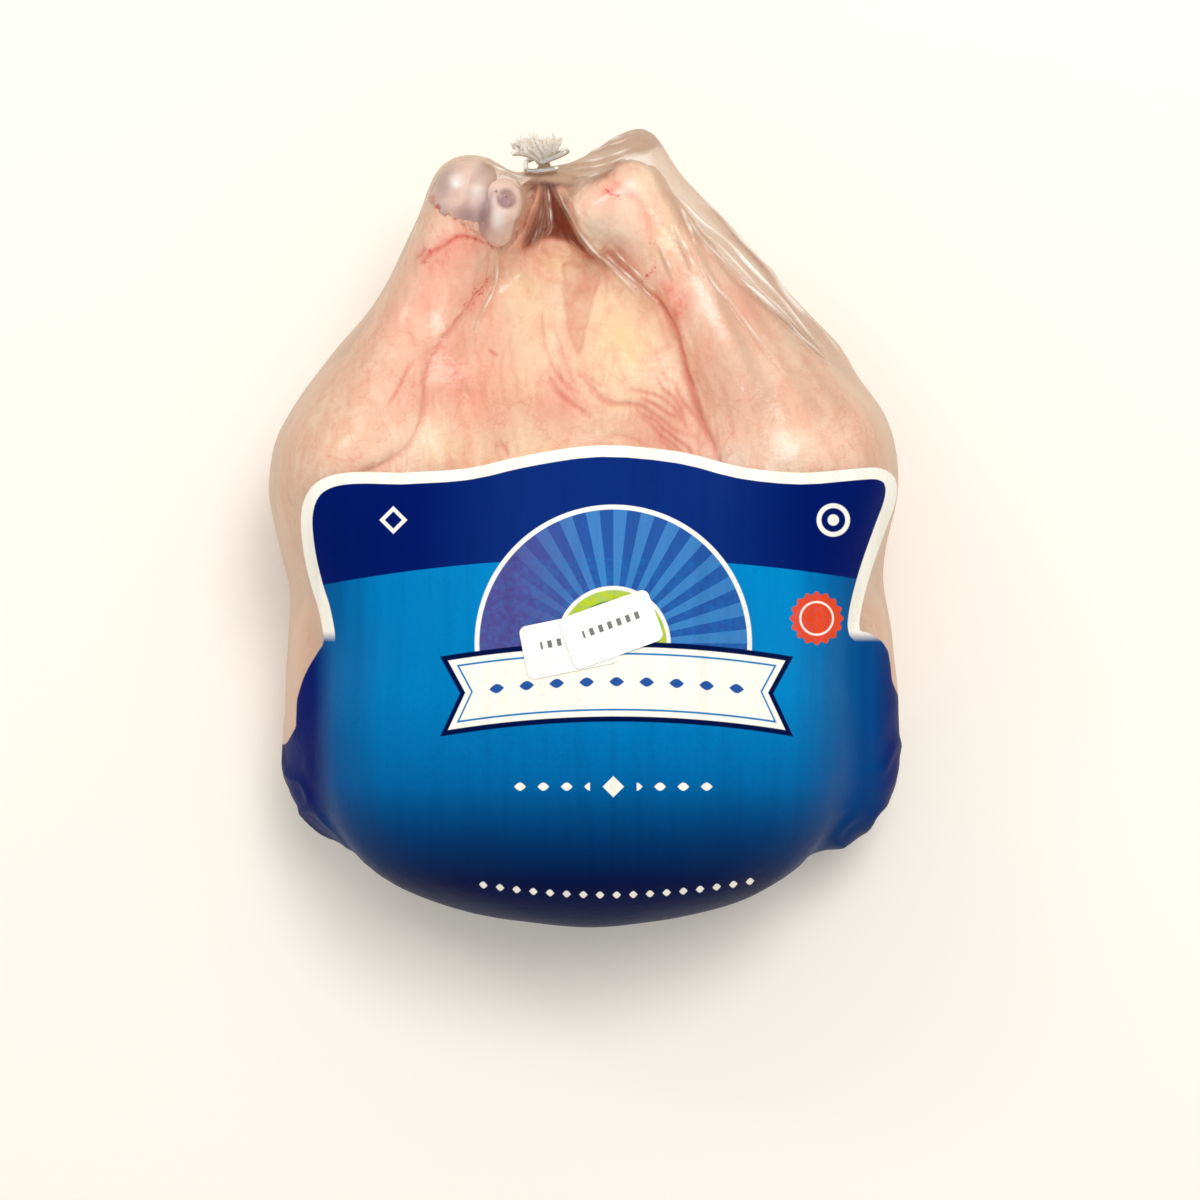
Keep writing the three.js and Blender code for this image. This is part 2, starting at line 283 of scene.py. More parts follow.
pleat_lines = [curved(path) for path, height, width in PLEATS]
for reach in PLEAT_REACHES:
    refined(film, near_lines(film, pleat_lines, reach, -0.2))
by_neck = np.linalg.norm(points_of(film) - NECK, axis=1)
evened(film, 3, 0.4 * eased(by_neck, *HELD_BY_CLIP))
film_points = points_of(film)
film_out = normals_of(film)
film_plan = in_plan(film_points)
raised = np.zeros(len(film_points))
crest = np.zeros(len(film_points))
valley = np.zeros(len(film_points))
lies_flat = eased(film_out[:, 2], 0.03, 0.25)
for line, (path, height, width) in zip(pleat_lines, PLEATS):
    gap, side, along = beside(film_plan, line)
    fading = np.sqrt(np.clip(4 * along * (1 - along), 0, 1)) * lies_flat
    raised = np.maximum(raised, height * fading * np.exp(-((gap / width) ** 1.4)))
    # Each crest is whitened, partly as milky folded film and partly as a painted highlight that comes and
    # goes along the pleat.
    showing = min(1, height**1.3) * fading**1.4 * (0.7 + 0.3 * np.sin(19 * along + 5 * height + 9 * width))
    crest = np.maximum(crest, showing * np.exp(-((gap / (0.55 * width + 0.1)) ** 2)))
    # Beside each pleat, on its right, lies a band of painted shade.
    hidden_side = np.exp(-(((gap - 1.7 * width) / (0.9 * width)) ** 2)) * (side < 0)
    valley = np.maximum(valley, min(1, height) * fading * hidden_side)

# Loose film at the corners of the bag and along the wings is creased. Elsewhere the film swells and dips a
# little.
at_corner = eased(-film_points[:, 1], 45, 80) * eased(np.abs(film_points[:, 0]), 45, 75)
at_corner *= eased(70 - film_points[:, 2], 0, 25)
creased = 1 - 2 * np.abs(crumple(film_points * (1, 1, 0.5), 17, 5))
raised += at_corner * 0.55 * np.clip(creased, -1, 1)
raised += 0.12 * crumple(film_points, 22, 3) * eased(film_points[:, 2], 2, 14)
film_points += film_out * raised[:, None]
film_points[:, 2] = np.maximum(film_points[:, 2], 0)
set_points(film, film_points)

# The print lies on the film over the breast: a blue panel with a cream edge, which runs on in plain navy
# round the wings and the neck end. It is printed before the bag is shrunk, so its sides draw in where the
# bird is full.
PANEL_EDGE = [
    (-60, 38.2), (-40, 39.5), (-22, 43.5), (0, 46.5), (24, 44.5), (42, 40), (60, 38.2), (76, 39.4),
    (84, 39.6), (88.6, 36.4), (88.9, 30), (85.6, 20.7), (81.3, 8.4), (78.4, -2.7), (78.0, -9), (81.0, -10),
    (86.4, -15), (90, -30), (110, -48), (140, -130), (-140, -130), (-120, -60), (-94, -43), (-91, -30),
    (-88.4, -22), (-84.6, -15.5), (-82.9, -12), (-84.4, -3), (-86.6, 4), (-88.9, 14.1), (-89.8, 25),
    (-87.6, 32.6), (-82.4, 36.8), (-74, 38.4),
]
SILHOUETTE_LEVEL = 36
LEFT_WRAP = [(0, -85), (36, -66), (72, -33)]
RIGHT_WRAP = [(0, -75), (36, -52), (72, -28)]
BORDER_WIDE = 3.5


def depth_inside(places, outline):
    """How far places lie inside a closed outline, below zero outside it."""
    closed = np.vstack([outline, outline[:1]])
    gap = beside(places, closed)[0]
    inside = np.zeros(len(places), dtype=bool)
    for (x0, y0), (x1, y1) in zip(closed, closed[1:]):
        crosses = (y0 > places[:, 1]) != (y1 > places[:, 1])
        if y0 != y1:
            inside ^= crosses & (places[:, 0] < x0 + (places[:, 1] - y0) * (x1 - x0) / (y1 - y0))
    return np.where(inside, gap, -gap)


# Gathered film lies in many layers, so it is beige where it stands free of the bird: round the neck, in the
# tent over the free corner and in the web outside the right thigh.
NECK_TENT = [
    (-36, 131), (-27, 136), (-18, 136), (-12, 138), (-3, 139), (6, 141), (13, 143.5), (20, 141), (19, 136),
    (14, 133.5), (8, 133), (4, 129.5), (-1, 126.5), (-8, 124), (-12, 125), (-17, 125.5), (-22, 126),
    (-28, 127),
]
HOLLOW_EDGE = [
    (-18.5, 127), (-14, 127.5), (-9.6, 119.5), (-5.5, 111.5), (-1.5, 105), (2, 99.4), (-4, 102), (-9, 105.4),
    (-13, 107), (-17, 107.4), (-21, 105), (-24.5, 104.5), (-24, 110), (-20.5, 118),
]
GATHER_POINT = np.array([14, 140])
LEG_VEIL = [
    (20, 132), (22, 110), (26, 88), (30, 66), (44, 52), (66, 50), (86, 56), (86, 66), (66, 88), (40, 112),
]
# Painted shade: a brown pocket of film between the pleats outside the right leg.
POCKET = [(40, 109.5), (44.5, 105), (48.5, 100)]
OUTER_WEB = [
    (14, 136), (19, 137), (26, 124), (40, 112), (52, 100), (63, 88), (60, 84), (50, 92), (40, 100), (31, 107),
    (24, 113), (19, 122),
]
film_plan = in_plan(film_points)
tent = eased(depth_inside(film_plan, np.array(NECK_TENT)), -1.2, 1.6)
web = eased(depth_inside(film_plan, np.array(OUTER_WEB)), -2.5, 2.0)
facing_up = film_out[:, 2] > -0.4

# Faint gathers spread from the free corner and veil the right leg.
from_tip = film_plan - GATHER_POINT
spread_angle = np.arctan2(from_tip[:, 1], from_tip[:, 0])
gathers = 0.5 + 0.22 * np.sin(37 * spread_angle) + 0.18 * np.sin(61 * spread_angle + 2)
gathers += 0.1 * np.sin(97 * spread_angle)
veil = eased(depth_inside(film_plan, np.array(LEG_VEIL)), -6, 10) * gathers
by_pocket = beside(film_plan, np.array(POCKET))[0]
pocket = 0.6 * np.exp(-((by_pocket / 0.9) ** 2)) * facing_up
over_hollow = eased(depth_inside(film_plan, np.array(HOLLOW_EDGE)), -3, 1) * facing_up * (1 - tent)
layered = np.maximum(0.93 * tent, np.maximum(0.6 * web, 0.5 * veil)) * facing_up
panel_line = curved(PANEL_EDGE + PANEL_EDGE[:1], 3)[:-1]
panel_depth = depth_inside(film_plan, panel_line)
heights = film_points[:, 2]
left_edge = np.interp(heights, *np.transpose(LEFT_WRAP))
right_edge = np.interp(heights, *np.transpose(RIGHT_WRAP))
wrap_edge = left_edge + (right_edge - left_edge) * eased(film_points[:, 0], -45, 45)
wrap_depth = wrap_edge - film_points[:, 1] + 1.2 * crumple(film_points, 26, 9)
from_above = eased(heights, SILHOUETTE_LEVEL - 5, SILHOUETTE_LEVEL + 5) * eased(film_out[:, 2], -0.05, 0.12)
kept_values(
    film,
    over_hollow=over_hollow,
    tent=tent * facing_up,
    layered=np.maximum(layered, pocket),
    pocket=pocket,
    crest=crest,
    valley=valley,
    on_top=from_above,
    print_depth=wrap_depth + (panel_depth - wrap_depth) * from_above,
    print_u=film_plan[:, 0],
    print_v=film_plan[:, 1],
)


def tint(red, green, blue):
    """A colour in the 0 to 255 numbers of a screen, as the even scale that materials use."""
    return (*(c / 3294.6 if c < 11 else ((c / 255 + 0.055) / 1.055) ** 2.4 for c in (red, green, blue)), 1)


def feed(tree, socket, value):
    """Links a value made by nodes to a socket, or sets a plain one on it."""
    if isinstance(value, Amount):
        value = value.socket
    if isinstance(value, bpy.types.NodeSocket):
        tree.links.new(value, socket)
    else:
        socket.default_value = value


class Amount:
    """A number that a material works out at every spot of a surface."""

    def __init__(self, tree, socket):
        self.tree = tree
        self.socket = socket

    def maths(self, kind, *values, clamped=False):
        node = self.tree.nodes.new("ShaderNodeMath")
        node.operation = kind
        node.use_clamp = clamped
        for socket, value in zip(node.inputs, values or (self,)):
            feed(self.tree, socket, value)
        return Amount(self.tree, node.outputs[0])

    def __add__(self, other):
        return self.maths("ADD", self, other)

    def __sub__(self, other):
        return self.maths("SUBTRACT", self, other)

    def __rsub__(self, other):
        return self.maths("SUBTRACT", other, self)

    def __mul__(self, other):
        return self.maths("MULTIPLY", self, other)

    def squared(self):
        return self.maths("MULTIPLY", self, self)

    def size(self):
        return self.maths("ABSOLUTE")

    def least(self, other):
        return self.maths("MINIMUM", self, other)

    def most(self, other):
        return self.maths("MAXIMUM", self, other)

    def past(self, edge, soft=0.12):
        """0 below the edge and 1 above it, softened by that much on either side."""
        return self.maths("MULTIPLY_ADD", self, 0.5 / soft, 0.5 - edge * 0.5 / soft, clamped=True)

    def between(self, low, high, soft=0.12):
        return self.past(low, soft) - self.past(high, soft)


def new_material(name):
    """A material with an empty set of nodes, and its tree."""
    made = bpy.data.materials.new(name)
    made.use_nodes = True
    made.node_tree.nodes.clear()
    made.node_tree.nodes.new("ShaderNodeOutputMaterial")
    return made, made.node_tree


def made_node(tree, kind, **values):
    """A node with its sockets set by name, in which a lower line stands for a space."""
    node = tree.nodes.new(kind)
    for name, value in values.items():
        feed(tree, node.inputs[name.replace("_", " ")], value)
    return node


def of_corner(tree, name):
    """The number kept for each corner of the piece under a name."""
    node = tree.nodes.new("ShaderNodeAttribute")
    node.attribute_name = name
    return Amount(tree, node.outputs["Fac"])


def over(tree, under, share, colour):
    """Lays a colour over another one, by a share from 0 to 1."""
    node = tree.nodes.new("ShaderNodeMix")
    node.data_type = "RGBA"
    feed(tree, node.inputs["Factor"], share)
    feed(tree, node.inputs[6], under)
    feed(tree, node.inputs[7], colour)
    return node.outputs[2]


def painted(tree, colour, *coats):
    """Lays coats over a colour in turn, each given as its share and its own colour."""
    for share, coat in coats:
        colour = over(tree, colour, share, coat)
    return colour


def waves(amount, spacing):
    """A wave from -1 to 1 that comes back at every spacing."""
    return (amount * (2 * math.pi / spacing)).maths("COSINE")


def mixed(tree, share, first, second):
    """A mix of two shaders, with that share of the second."""
    mix = made_node(tree, "ShaderNodeMixShader", Fac=share)
    tree.links.new(first.outputs[0], mix.inputs[1])
    tree.links.new(second.outputs[0], mix.inputs[2])
    return mix


def coated(piece, finish, surface, sharp_from=None):
    """Gives a piece its finish, and shades it smooth but for edges sharper than an angle."""
    tree = finish.node_tree
    tree.links.new(surface.outputs[0], tree.nodes["Material Output"].inputs["Surface"])
    alone(piece)
    if sharp_from:
        bpy.ops.object.shade_smooth_by_angle(angle=math.radians(sharp_from))
    else:
        bpy.ops.object.shade_smooth()
    piece.data.materials.clear()
    piece.data.materials.append(finish)


def grain(tree, per_metre, detail=2.0, stretch=(1, 1, 1), roughness=0.5):
    """Even noise about 0.5 that stays with the object, with that many waves in a metre."""
    place = tree.nodes.new("ShaderNodeTexCoord").outputs["Object"]
    place = made_node(tree, "ShaderNodeMapping", Scale=stretch, Vector=place).outputs["Vector"]
    noise = made_node(
        tree, "ShaderNodeTexNoise", Scale=per_metre, Detail=detail, Roughness=roughness, Vector=place,
    )
    return Amount(tree, noise.outputs["Fac"])


def relief(tree, height, depth_mm, strength):
    """Tilts the surface as if the height amount stood up by that depth."""
    bump = made_node(tree, "ShaderNodeBump", Strength=strength, Distance=depth_mm * MM, Height=height)
    return bump.outputs["Normal"]


NAVY = tint(0, 22, 98)
DEEP_NAVY = tint(0, 16, 66)
MID_BLUE = tint(0, 120, 184)
LIGHT_BLUE = tint(0, 132, 198)
SIDE_BLUE = tint(0, 58, 126)
BAND_MIDDLE = tint(8, 42, 116)
LOW_NAVY = tint(0, 13, 60)
LOW_NAVY_UP_TO = 0.040
CREAM = tint(252, 248, 236)
SUN_LIGHT = tint(62, 124, 188)
SUN_DARK = tint(38, 84, 158)
SUN_PURPLE = tint(80, 72, 140)
GREEN = tint(92, 136, 44)
LIME = tint(182, 202, 40)
RED_ORANGE = tint(232, 74, 28)
SUN_AT = (4.0, -13.0)
SUN_RAYS = 15
SUN_RINGS = (41.6, 40.2, 17.2, 16.0, 12.8, 7.2)
RIBBON_AT = (5.0, -24.5)
RIBBON_HALF = (50.0, 10.0)
RIBBON_BOW = 4.0
SEAL_AT = (65.0, -5.5)
SEAL_RADIUS = 7.6

printed_film, tree = new_material("printed_film")
u = of_corner(tree, "print_u")
v = of_corner(tree, "print_v")
depth = of_corner(tree, "print_depth")
printed = depth.past(0, 0.15)

# The blue is lightest at the upper right and darkens to navy towards the neck end and the sides.
band_rise = 12.5 - (u - 2).squared() * 0.0011
band = over(tree, NAVY, 1 - (u - 4).size().past(44, 14), BAND_MIDDLE)
ink = painted(
    tree, MID_BLUE,
    ((u * 0.6 + v).past(-8, 42), LIGHT_BLUE),
    ((u + 5).size().past(73, 11) * 0.9, SIDE_BLUE),
    ((1 - v.past(-50, 22)) * 0.75, SIDE_BLUE),
    (1 - v.past(-70, 15), DEEP_NAVY),
    ((u - 1).size().past(84, 3) * (1 - v.past(-12, 4)), NAVY),
    ((v - band_rise).past(0), band),
)


def gap_to(x, y):
    """How far every place of the print lies from one spot of it."""
    return ((u - x).squared() + (v - y).squared()).maths("SQRT")


# A generic rising sun with rays, a green and a lime ring and a white core stands behind a bare white ribbon.
sun_u = u - SUN_AT[0]
sun_v = v - SUN_AT[1]
turn = sun_v.maths("ARCTAN2", sun_v, sun_u)
ray = (turn * SUN_RAYS * 2).maths("SINE").past(0, 0.06)
rays = over(tree, SUN_DARK, ray, SUN_LIGHT)
rays = over(tree, rays, (0 - sun_u - sun_v * 0.3).past(12, 14), SUN_PURPLE)
risen = sun_v.past(-6)
from_sun = gap_to(*SUN_AT)
for radius, colour in zip(SUN_RINGS, (CREAM, rays, CREAM, LIME, GREEN, CREAM)):
    ink = over(tree, ink, (1 - from_sun.past(radius)) * risen, colour)

ribbon_u = u - RIBBON_AT[0]
ribbon_v = v - RIBBON_AT[1] + ribbon_u.squared() * (RIBBON_BOW / RIBBON_HALF[0] ** 2)
notch = ribbon_v.size() * 0.5
across = RIBBON_HALF[1] - ribbon_v.size()
lengthwise = notch + (RIBBON_HALF[0] - 5) - ribbon_u.size()
ribbon = across.least(lengthwise)
lozenge = waves(ribbon_u, 9) * 1.4 - ribbon_v.size()

# Small plain marks: one in each upper corner, a divider of diamonds, a string of beads at the neck end and a
# red seal.
left_mark = 4.2 - (u + 62).size() - (v - 24).size()
right_mark = gap_to(70, 24)
divider = 3.2 - (u - 4).size() - (v + 56).size()
beads = waves(u - 4.01, 7) * 1.2 - (v + 56).size()
string = waves(u, 5) - (v + 88.5 - (u - 2).squared() * 0.0022).size()
string = string.past(0) * of_corner(tree, "on_top").past(0.6, 0.1)
from_seal = gap_to(*SEAL_AT)
scallops = (u.maths("ARCTAN2", v - SEAL_AT[1], u - SEAL_AT[0]) * 16).maths("COSINE") * 0.45
ink = painted(
    tree, ink,
    (ribbon.past(-2.0), DEEP_NAVY),
    (ribbon.past(-0.4), CREAM),
    (ribbon.between(1.3, 1.9), MID_BLUE),
    (lozenge.past(0) * ribbon.past(3), SUN_DARK),
    (left_mark.past(0), CREAM),
    (left_mark.past(1.6), NAVY),
    (right_mark.between(3.6, 5.0), CREAM),
    (1 - right_mark.past(1.7), CREAM),
    (divider.past(0), CREAM),
    (beads.past(0) * (u - 4).size().between(7, 31), CREAM),
    (string * (1 - (u - 5).size().past(43)), CREAM),
    ((scallops + SEAL_RADIUS - from_seal).past(0), RED_ORANGE),
    (from_seal.between(4.6, 5.2), CREAM),
)

# The cream edge of the panel stops where the navy wrap begins, which is darkest low down. Dew and scuffs lie
# over all.
place = tree.nodes.new("ShaderNodeTexCoord").outputs["Object"]
above_table = made_node(tree, "ShaderNodeSeparateXYZ", Vector=place).outputs["Z"]
low = 1 - Amount(tree, above_table).past(LOW_NAVY_UP_TO, 0.006)
dew = grain(tree, 620, 4.0).past(0.53, 0.12) * (1 - (v - band_rise).past(0)) * v.past(-46, 16)
dew = dew * (1 - (u - 1).size().past(62, 12)) * 0.22
speckle = grain(tree, 900, 1.0).past(0.66, 0.05) * 0.07
streaks = grain(tree, 260, 3.0, (1, 0.06, 0.06)).past(0.6, 0.16) * 0.14
ink = painted(
    tree, ink,
    ((1 - depth.past(BORDER_WIDE)) * v.past(-11, 1.5), CREAM),
    (low, LOW_NAVY),
    (dew * (1 - ribbon.past(-2.0)), LIGHT_BLUE),
    (speckle + streaks, DEEP_NAVY),
)

# Clear film is nearly invisible face on. It turns grey-beige where it is seen at a slant, and mirrors the
# window.
slant = Amount(tree, made_node(tree, "ShaderNodeLayerWeight", Blend=0.35).outputs["Facing"])
slanted = slant.maths("POWER", slant, 1.15) * 1.5 * (1 - of_corner(tree, "over_hollow"))
gathered = of_corner(tree, "layered") * (grain(tree, 160, 3.0, (1, 0.4, 1)) * 0.3 + 0.85)
crest = of_corner(tree, "crest")
valley = of_corner(tree, "valley")
# The whitened crests, and the painted shade beside the pleats and in the pocket, also cloud the clear film.
haze = slanted.most(gathered).most(crest * 0.75).most(valley * 0.55).least(0.92)
# The tent is painted darker than the layered film, as shade, most of all right of the clip.
tented = over(tree, tint(192, 160, 134), u.past(2, 8), tint(176, 144, 120))
# Over the film's beige lie painted shade beside the pleats and in the pocket, and crests whitened partly as
# milky folded film and partly as painted highlight.
beige = painted(
    tree, tint(206, 172, 144),
    (of_corner(tree, "tent"), tented),
    (valley * 0.6, tint(170, 132, 106)),
    (of_corner(tree, "pocket"), tint(168, 124, 100)),
    (crest.past(0.35, 0.25), tint(255, 250, 240)),
)
face = over(tree, beige, printed, ink)
cover = haze * (1 - printed) + printed
crinkle = grain(tree, 120, 3.0) * 0.7 + grain(tree, 520, 2.0) * 0.3
tilt = relief(tree, crinkle, 0.5, 0.45)
body = made_node(
    tree, "ShaderNodeBsdfPrincipled", Base_Color=face, Roughness=0.38, Specular_IOR_Level=0.02, Normal=tilt,
)
clear = made_node(tree, "ShaderNodeBsdfTransparent", Color=(0.985, 0.975, 0.96, 1))
mirror = made_node(tree, "ShaderNodeBsdfGlossy", Color=(1, 1, 1, 1), Roughness=0.2, Normal=tilt)
fresnel = made_node(tree, "ShaderNodeFresnel", IOR=1.55, Normal=tilt)
gloss = Amount(tree, fresnel.outputs["Fac"]).least(0.16) * (1 - printed)
gloss = gloss * (1 - of_corner(tree, "over_hollow") * 0.6)
coated(film, printed_film, mixed(tree, gloss, mixed(tree, cover, clear, body), mirror))
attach(film, "root")
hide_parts("bagged_chicken")

# The bird is raw, plucked and trussed, with its legs drawn together past the open belly. Its thick wet skin
# is pale pink over meat and yellow over fat, pressed smooth by the film, and folded where the thighs meet the
# belly.
SKIN_GRAIN = 2.0
BALLS = [
    # middle, half sizes and turn: breast, shoulders, belly, back, thighs, wings, belly flaps and the tail end
    ((-0.8, -44, 56), (65, 73, 57), 0),
    ((-39.8, -64, 50), (40, 43.5, 42), -0.25),
    ((36.2, -64, 50), (40, 43.5, 42), 0.25),
    ((-1.8, 28, 40), (52, 58, 38), 0),
    ((-1.8, -8, 37), (71, 91, 38), 0),
    ((-57.8, 12, 44), (35.5, 46, 40), -0.1),
    ((54.2, 12, 44), (35.5, 46, 40), 0.1),
    ((-77.8, -53, 36), (14.5, 39.5, 23.5), 0),
    ((79.2, -52, 36), (14.5, 39.5, 23.5), 0),
    ((-23, 58, 50), (19, 32, 18.5), 0.12),
    ((9, 56, 50), (17, 33, 20), -0.1),
    ((-9, 80, 38), (21, 21, 21), 0),
    ((-9, 91, 48), (19, 18, 20), 0),
]
LIMBS = [
    # from, to, radius at both ends and how early the taper is taken: drumsticks, right knob, wing tips
    ((-63.8, 16, 57), (-37.0, 88, 64.5), 28, 12.2, 1.8),
    ((61.2, 20, 57), (11.4, 96, 65.5), 28, 12.6, 1.8),
    ((2.4, 88, 67.5), (0.6, 92, 73), 8.6, 7.4, 1),
    ((-76.8, -74, 34), (-65.8, -82, 38), 13.5, 8.5, 1),
    ((79.2, -72, 34), (72.2, -86, 38), 13.5, 9.5, 1),
]
BALLS_PER_LIMB = 16


def ball(middle, half, turned=0):
    """Adds a ball in millimetres, stretched to three half sizes and turned about the vertical."""
    bpy.ops.mesh.primitive_uv_sphere_add(
        segments=40,
        ring_count=24,
        location=[m * MM for m in middle],
        rotation=(0, 0, turned),
        scale=[h * MM for h in half],
    )
    return bpy.context.object


def limb(start, end, radius_start, radius_end, thinning):
    """Adds a row of balls that taper from one place to the other."""
    start, end = np.array(start), np.array(end)
    row = []
    for t in np.linspace(0, 1, BALLS_PER_LIMB):
        radius = radius_start + (radius_end - radius_start) * (1 - (1 - t) ** thinning)
        row.append(ball(start + t * (end - start), (radius, radius, radius)))
    return row


def joined(parts, name, voxel=None):
    """Makes one piece of parts. With a voxel size, parts that run into each other get one closed skin."""
    bpy.ops.object.select_all(action="DESELECT")
    for part in parts:
        part.select_set(True)
    bpy.context.view_layer.objects.active = parts[0]
    bpy.ops.object.join()
    piece = bpy.context.object
    bpy.ops.object.transform_apply(location=True, rotation=True, scale=True)
    piece.name = name
    piece.data.name = name
    if voxel:
        worked(piece, "REMESH", mode="VOXEL", voxel_size=voxel * MM)
    return piece


def skin_of(piece):
    """What finds the nearest spot of a piece's surface, in metres."""
    corners = [vertex.co.copy() for vertex in piece.data.vertices]
    return BVHTree.FromPolygons(corners, [list(face.vertices) for face in piece.data.polygons])


film_skin = skin_of(film)
PRESSED_GAP = 0.6


def held_inside(piece, least, flat_from, free_from):
    """Moves a piece in under the film, and presses it flat where it comes nearer than flat_from."""
    points = points_of(piece)
    for i, point in enumerate(points):
        spot, way, _, _ = film_skin.find_nearest(Vector(point * MM))
        inside_by = (spot - Vector(point * MM)).dot(way) / MM
        if inside_by < free_from:
            wanted = np.interp(inside_by, (flat_from, free_from), (least, free_from))
            points[i] += np.array(way) * (inside_by - wanted)
    set_points(piece, points)


def kept_clear(piece, least=PRESSED_GAP):
    """Moves in only what lies nearer to the film than that, or outside it."""
    held_inside(piece, least, least, least + 0.01)


bird_parts = [ball(*shape) for shape in BALLS]
for shape in LIMBS:
    bird_parts += limb(*shape)
bird = joined(bird_parts, "bird_skin", SKIN_GRAIN)
evened(bird, 4, 0.5)
held_inside(bird, PRESSED_GAP, 1.8, 6)
evened(bird, 2, 0.4)
bird_points = points_of(bird)
legs_shown = (bird_points[:, 2] > 48) & (bird_points[:, 1] > 8)
refined(bird, legs_shown)
evened(bird, 2, 0.4)

# Folds of the skin: a path in plan, its depth, how wide it runs out on the left and on the right of the path,
# and how red it is. The first two are where the legs lie against the belly. The rest are wrinkles of the
# loose skin beside the right leg and over the flaps, the edge of the right knuckle, and the torn edge of the
# skin below the left bone end.
FOLDS = [
    ([(-32, 97), (-36.3, 91), (-40, 86), (-44.9, 79.8), (-49.8, 72.3), (-51.9, 66.9), (-52.5, 57.3),
      (-54.6, 51), (-57.9, 45.9), (-65.7, 40.5), (-74, 37)], 1.7, 5.0, 1.4, 0.5),
    ([(1, 106), (6, 99), (12, 93.6), (16.5, 89.4), (19.8, 85.2), (22.2, 81), (23.7, 75), (25.2, 68.4),
      (27, 62.4), (30, 54), (33.6, 45.6), (36, 38)], 1.8, 1.4, 5.0, 0.9),
    ([(-15.6, 67.2), (-13.2, 63.6), (-10.2, 60.3), (-6.6, 57.6), (-2.4, 54.9)], 0.6, 0.6, 0.6, 0.7),
    ([(-15.3, 72.6), (-13.2, 68.4), (-10.2, 64.5), (-8.1, 62.7)], 0.5, 0.6, 0.6, 0.6),
    ([(-15, 64.8), (-12, 61.2), (-9, 58.8)], 0.4, 0.5, 0.5, 0.6),
    ([(-8.1, 69.6), (-4.5, 66), (1.5, 60), (5.4, 58.8), (9.6, 58.8), (13.5, 57.6), (18, 54.6),
      (22.5, 51), (29.4, 48.9)], 0.8, 0.6, 0.6, 0.7),
    ([(-6, 69), (-3, 66.3), (0.9, 63.6)], 0.4, 0.5, 0.5, 0.5),
    ([(-3.6, 63.6), (-0.9, 60.9), (1.5, 58.8)], 0.4, 0.5, 0.5, 0.5),
    ([(8.4, 63.3), (13.5, 62.4), (18, 61.2), (21.6, 58.8), (24.6, 54.6), (27.3, 50.1)], 0.6, 0.6, 0.6, 0.7),
    ([(12, 60.6), (16.5, 58.8), (20.4, 56.4), (25.2, 54)], 0.6, 0.5, 0.5, 0.8),
    ([(10.2, 57.9), (13.5, 55.2), (16.8, 54), (19.5, 51), (23.4, 48), (26.4, 45.6),
      (29.4, 41.1)], 0.7, 0.5, 0.5, 0.8),
    ([(11.4, 55.5), (15.6, 52.8), (18.6, 49.2), (22.5, 46.2), (25.8, 43.2),
      (28.5, 40.8)], 0.6, 0.5, 0.5, 0.7),
    ([(16.5, 67.8), (19.2, 63.6), (22.5, 60.6), (24.6, 56.4), (25.8, 51.9)], 0.6, 0.5, 0.5, 0.7),
    ([(21.6, 66.6), (24, 61.2), (27, 57), (30, 52.5), (33, 46.5), (35.1, 42.9)], 0.6, 0.5, 0.5, 0.7),
    ([(17.4, 48.6), (21.6, 45), (26.4, 40.5)], 0.5, 0.5, 0.5, 0.6),
    ([(24, 77.1), (24.9, 70.5), (27, 64.5), (28.5, 60.3)], 0.6, 0.5, 0.5, 0.8),
    ([(16.5, 76.5), (18.6, 69.6), (20.7, 64.8)], 0.4, 0.6, 0.6, 0.4),
    ([(-18, 84.6), (-16.5, 76.5), (-14.1, 70.8)], 0.4, 0.8, 0.8, 0.35),
    ([(-14.4, 84.6), (-12, 76.5), (-9.6, 69), (-7.2, 64.2)], 0.5, 0.8, 0.8, 0.4),
    ([(0, 48), (6, 49.2), (12, 47.4), (16.8, 44.4)], 0.4, 0.6, 0.6, 0.4),
    ([(-33.6, 75), (-32.4, 74.4), (-30.9, 73.2)], 0.3, 0.5, 0.5, 0.9),
    ([(-30, 48), (-28.5, 45.6), (-27.3, 43.2)], 0.3, 0.4, 0.4, 0.7),
    ([(-55.5, 72.6), (-58.5, 67.5), (-61.5, 61.5), (-63.6, 58.5)], 0.3, 0.5, 0.5, 0.7),
    ([(0.6, 128.5), (4, 125), (9.6, 121.6), (13.4, 116.8), (14.8, 111.6),
      (14.4, 106.2)], 1.5, 1.6, 2.2, 0.35),
    ([(-2, 127), (1, 130), (5, 131.5)], 0.6, 0.8, 0.8, 0.7),
    ([(-54, 100.8), (-50.4, 104.7), (-46.5, 106.5), (-43.5, 108.6), (-39.9, 109.2), (-36, 107.7),
      (-31.2, 105.9)], 0.5, 0.5, 0.9, 1.0),
    ([(-41.4, 113.4), (-39.6, 109.8)], 0.4, 0.4, 0.4, 0.8),
    ([(-55.5, 102.6), (-52.5, 105.6)], 0.3, 0.4, 0.4, 0.8),
]
# The skin of the left leg ends in a ragged edge round the bone end. The path runs from left to right.
SKIN_END = [
    (-62, 121), (-51, 120.5), (-48, 116.5), (-42, 113.7), (-38, 111), (-34.5, 107.5), (-31, 106.4),
    (-27, 107), (-24, 110), (-21.5, 116), (-19, 123),
]
# Between the two flaps of the belly a thin membrane lies a little deeper.
MEMBRANE_EDGE = [
    (-11.1, 100.4), (-8.6, 101.4), (-4, 100), (0.4, 99), (-0.8, 95), (-3, 88), (-4.6, 80), (-6.2, 74),
    (-7.6, 75.5), (-9.6, 83), (-10.6, 92),
]
FOLD_ROUND = 0.4
FOLD_REACH = 3.0
EDGE_REACH = 4.0
fold_lines = [curved(path) for path, *_ in FOLDS]


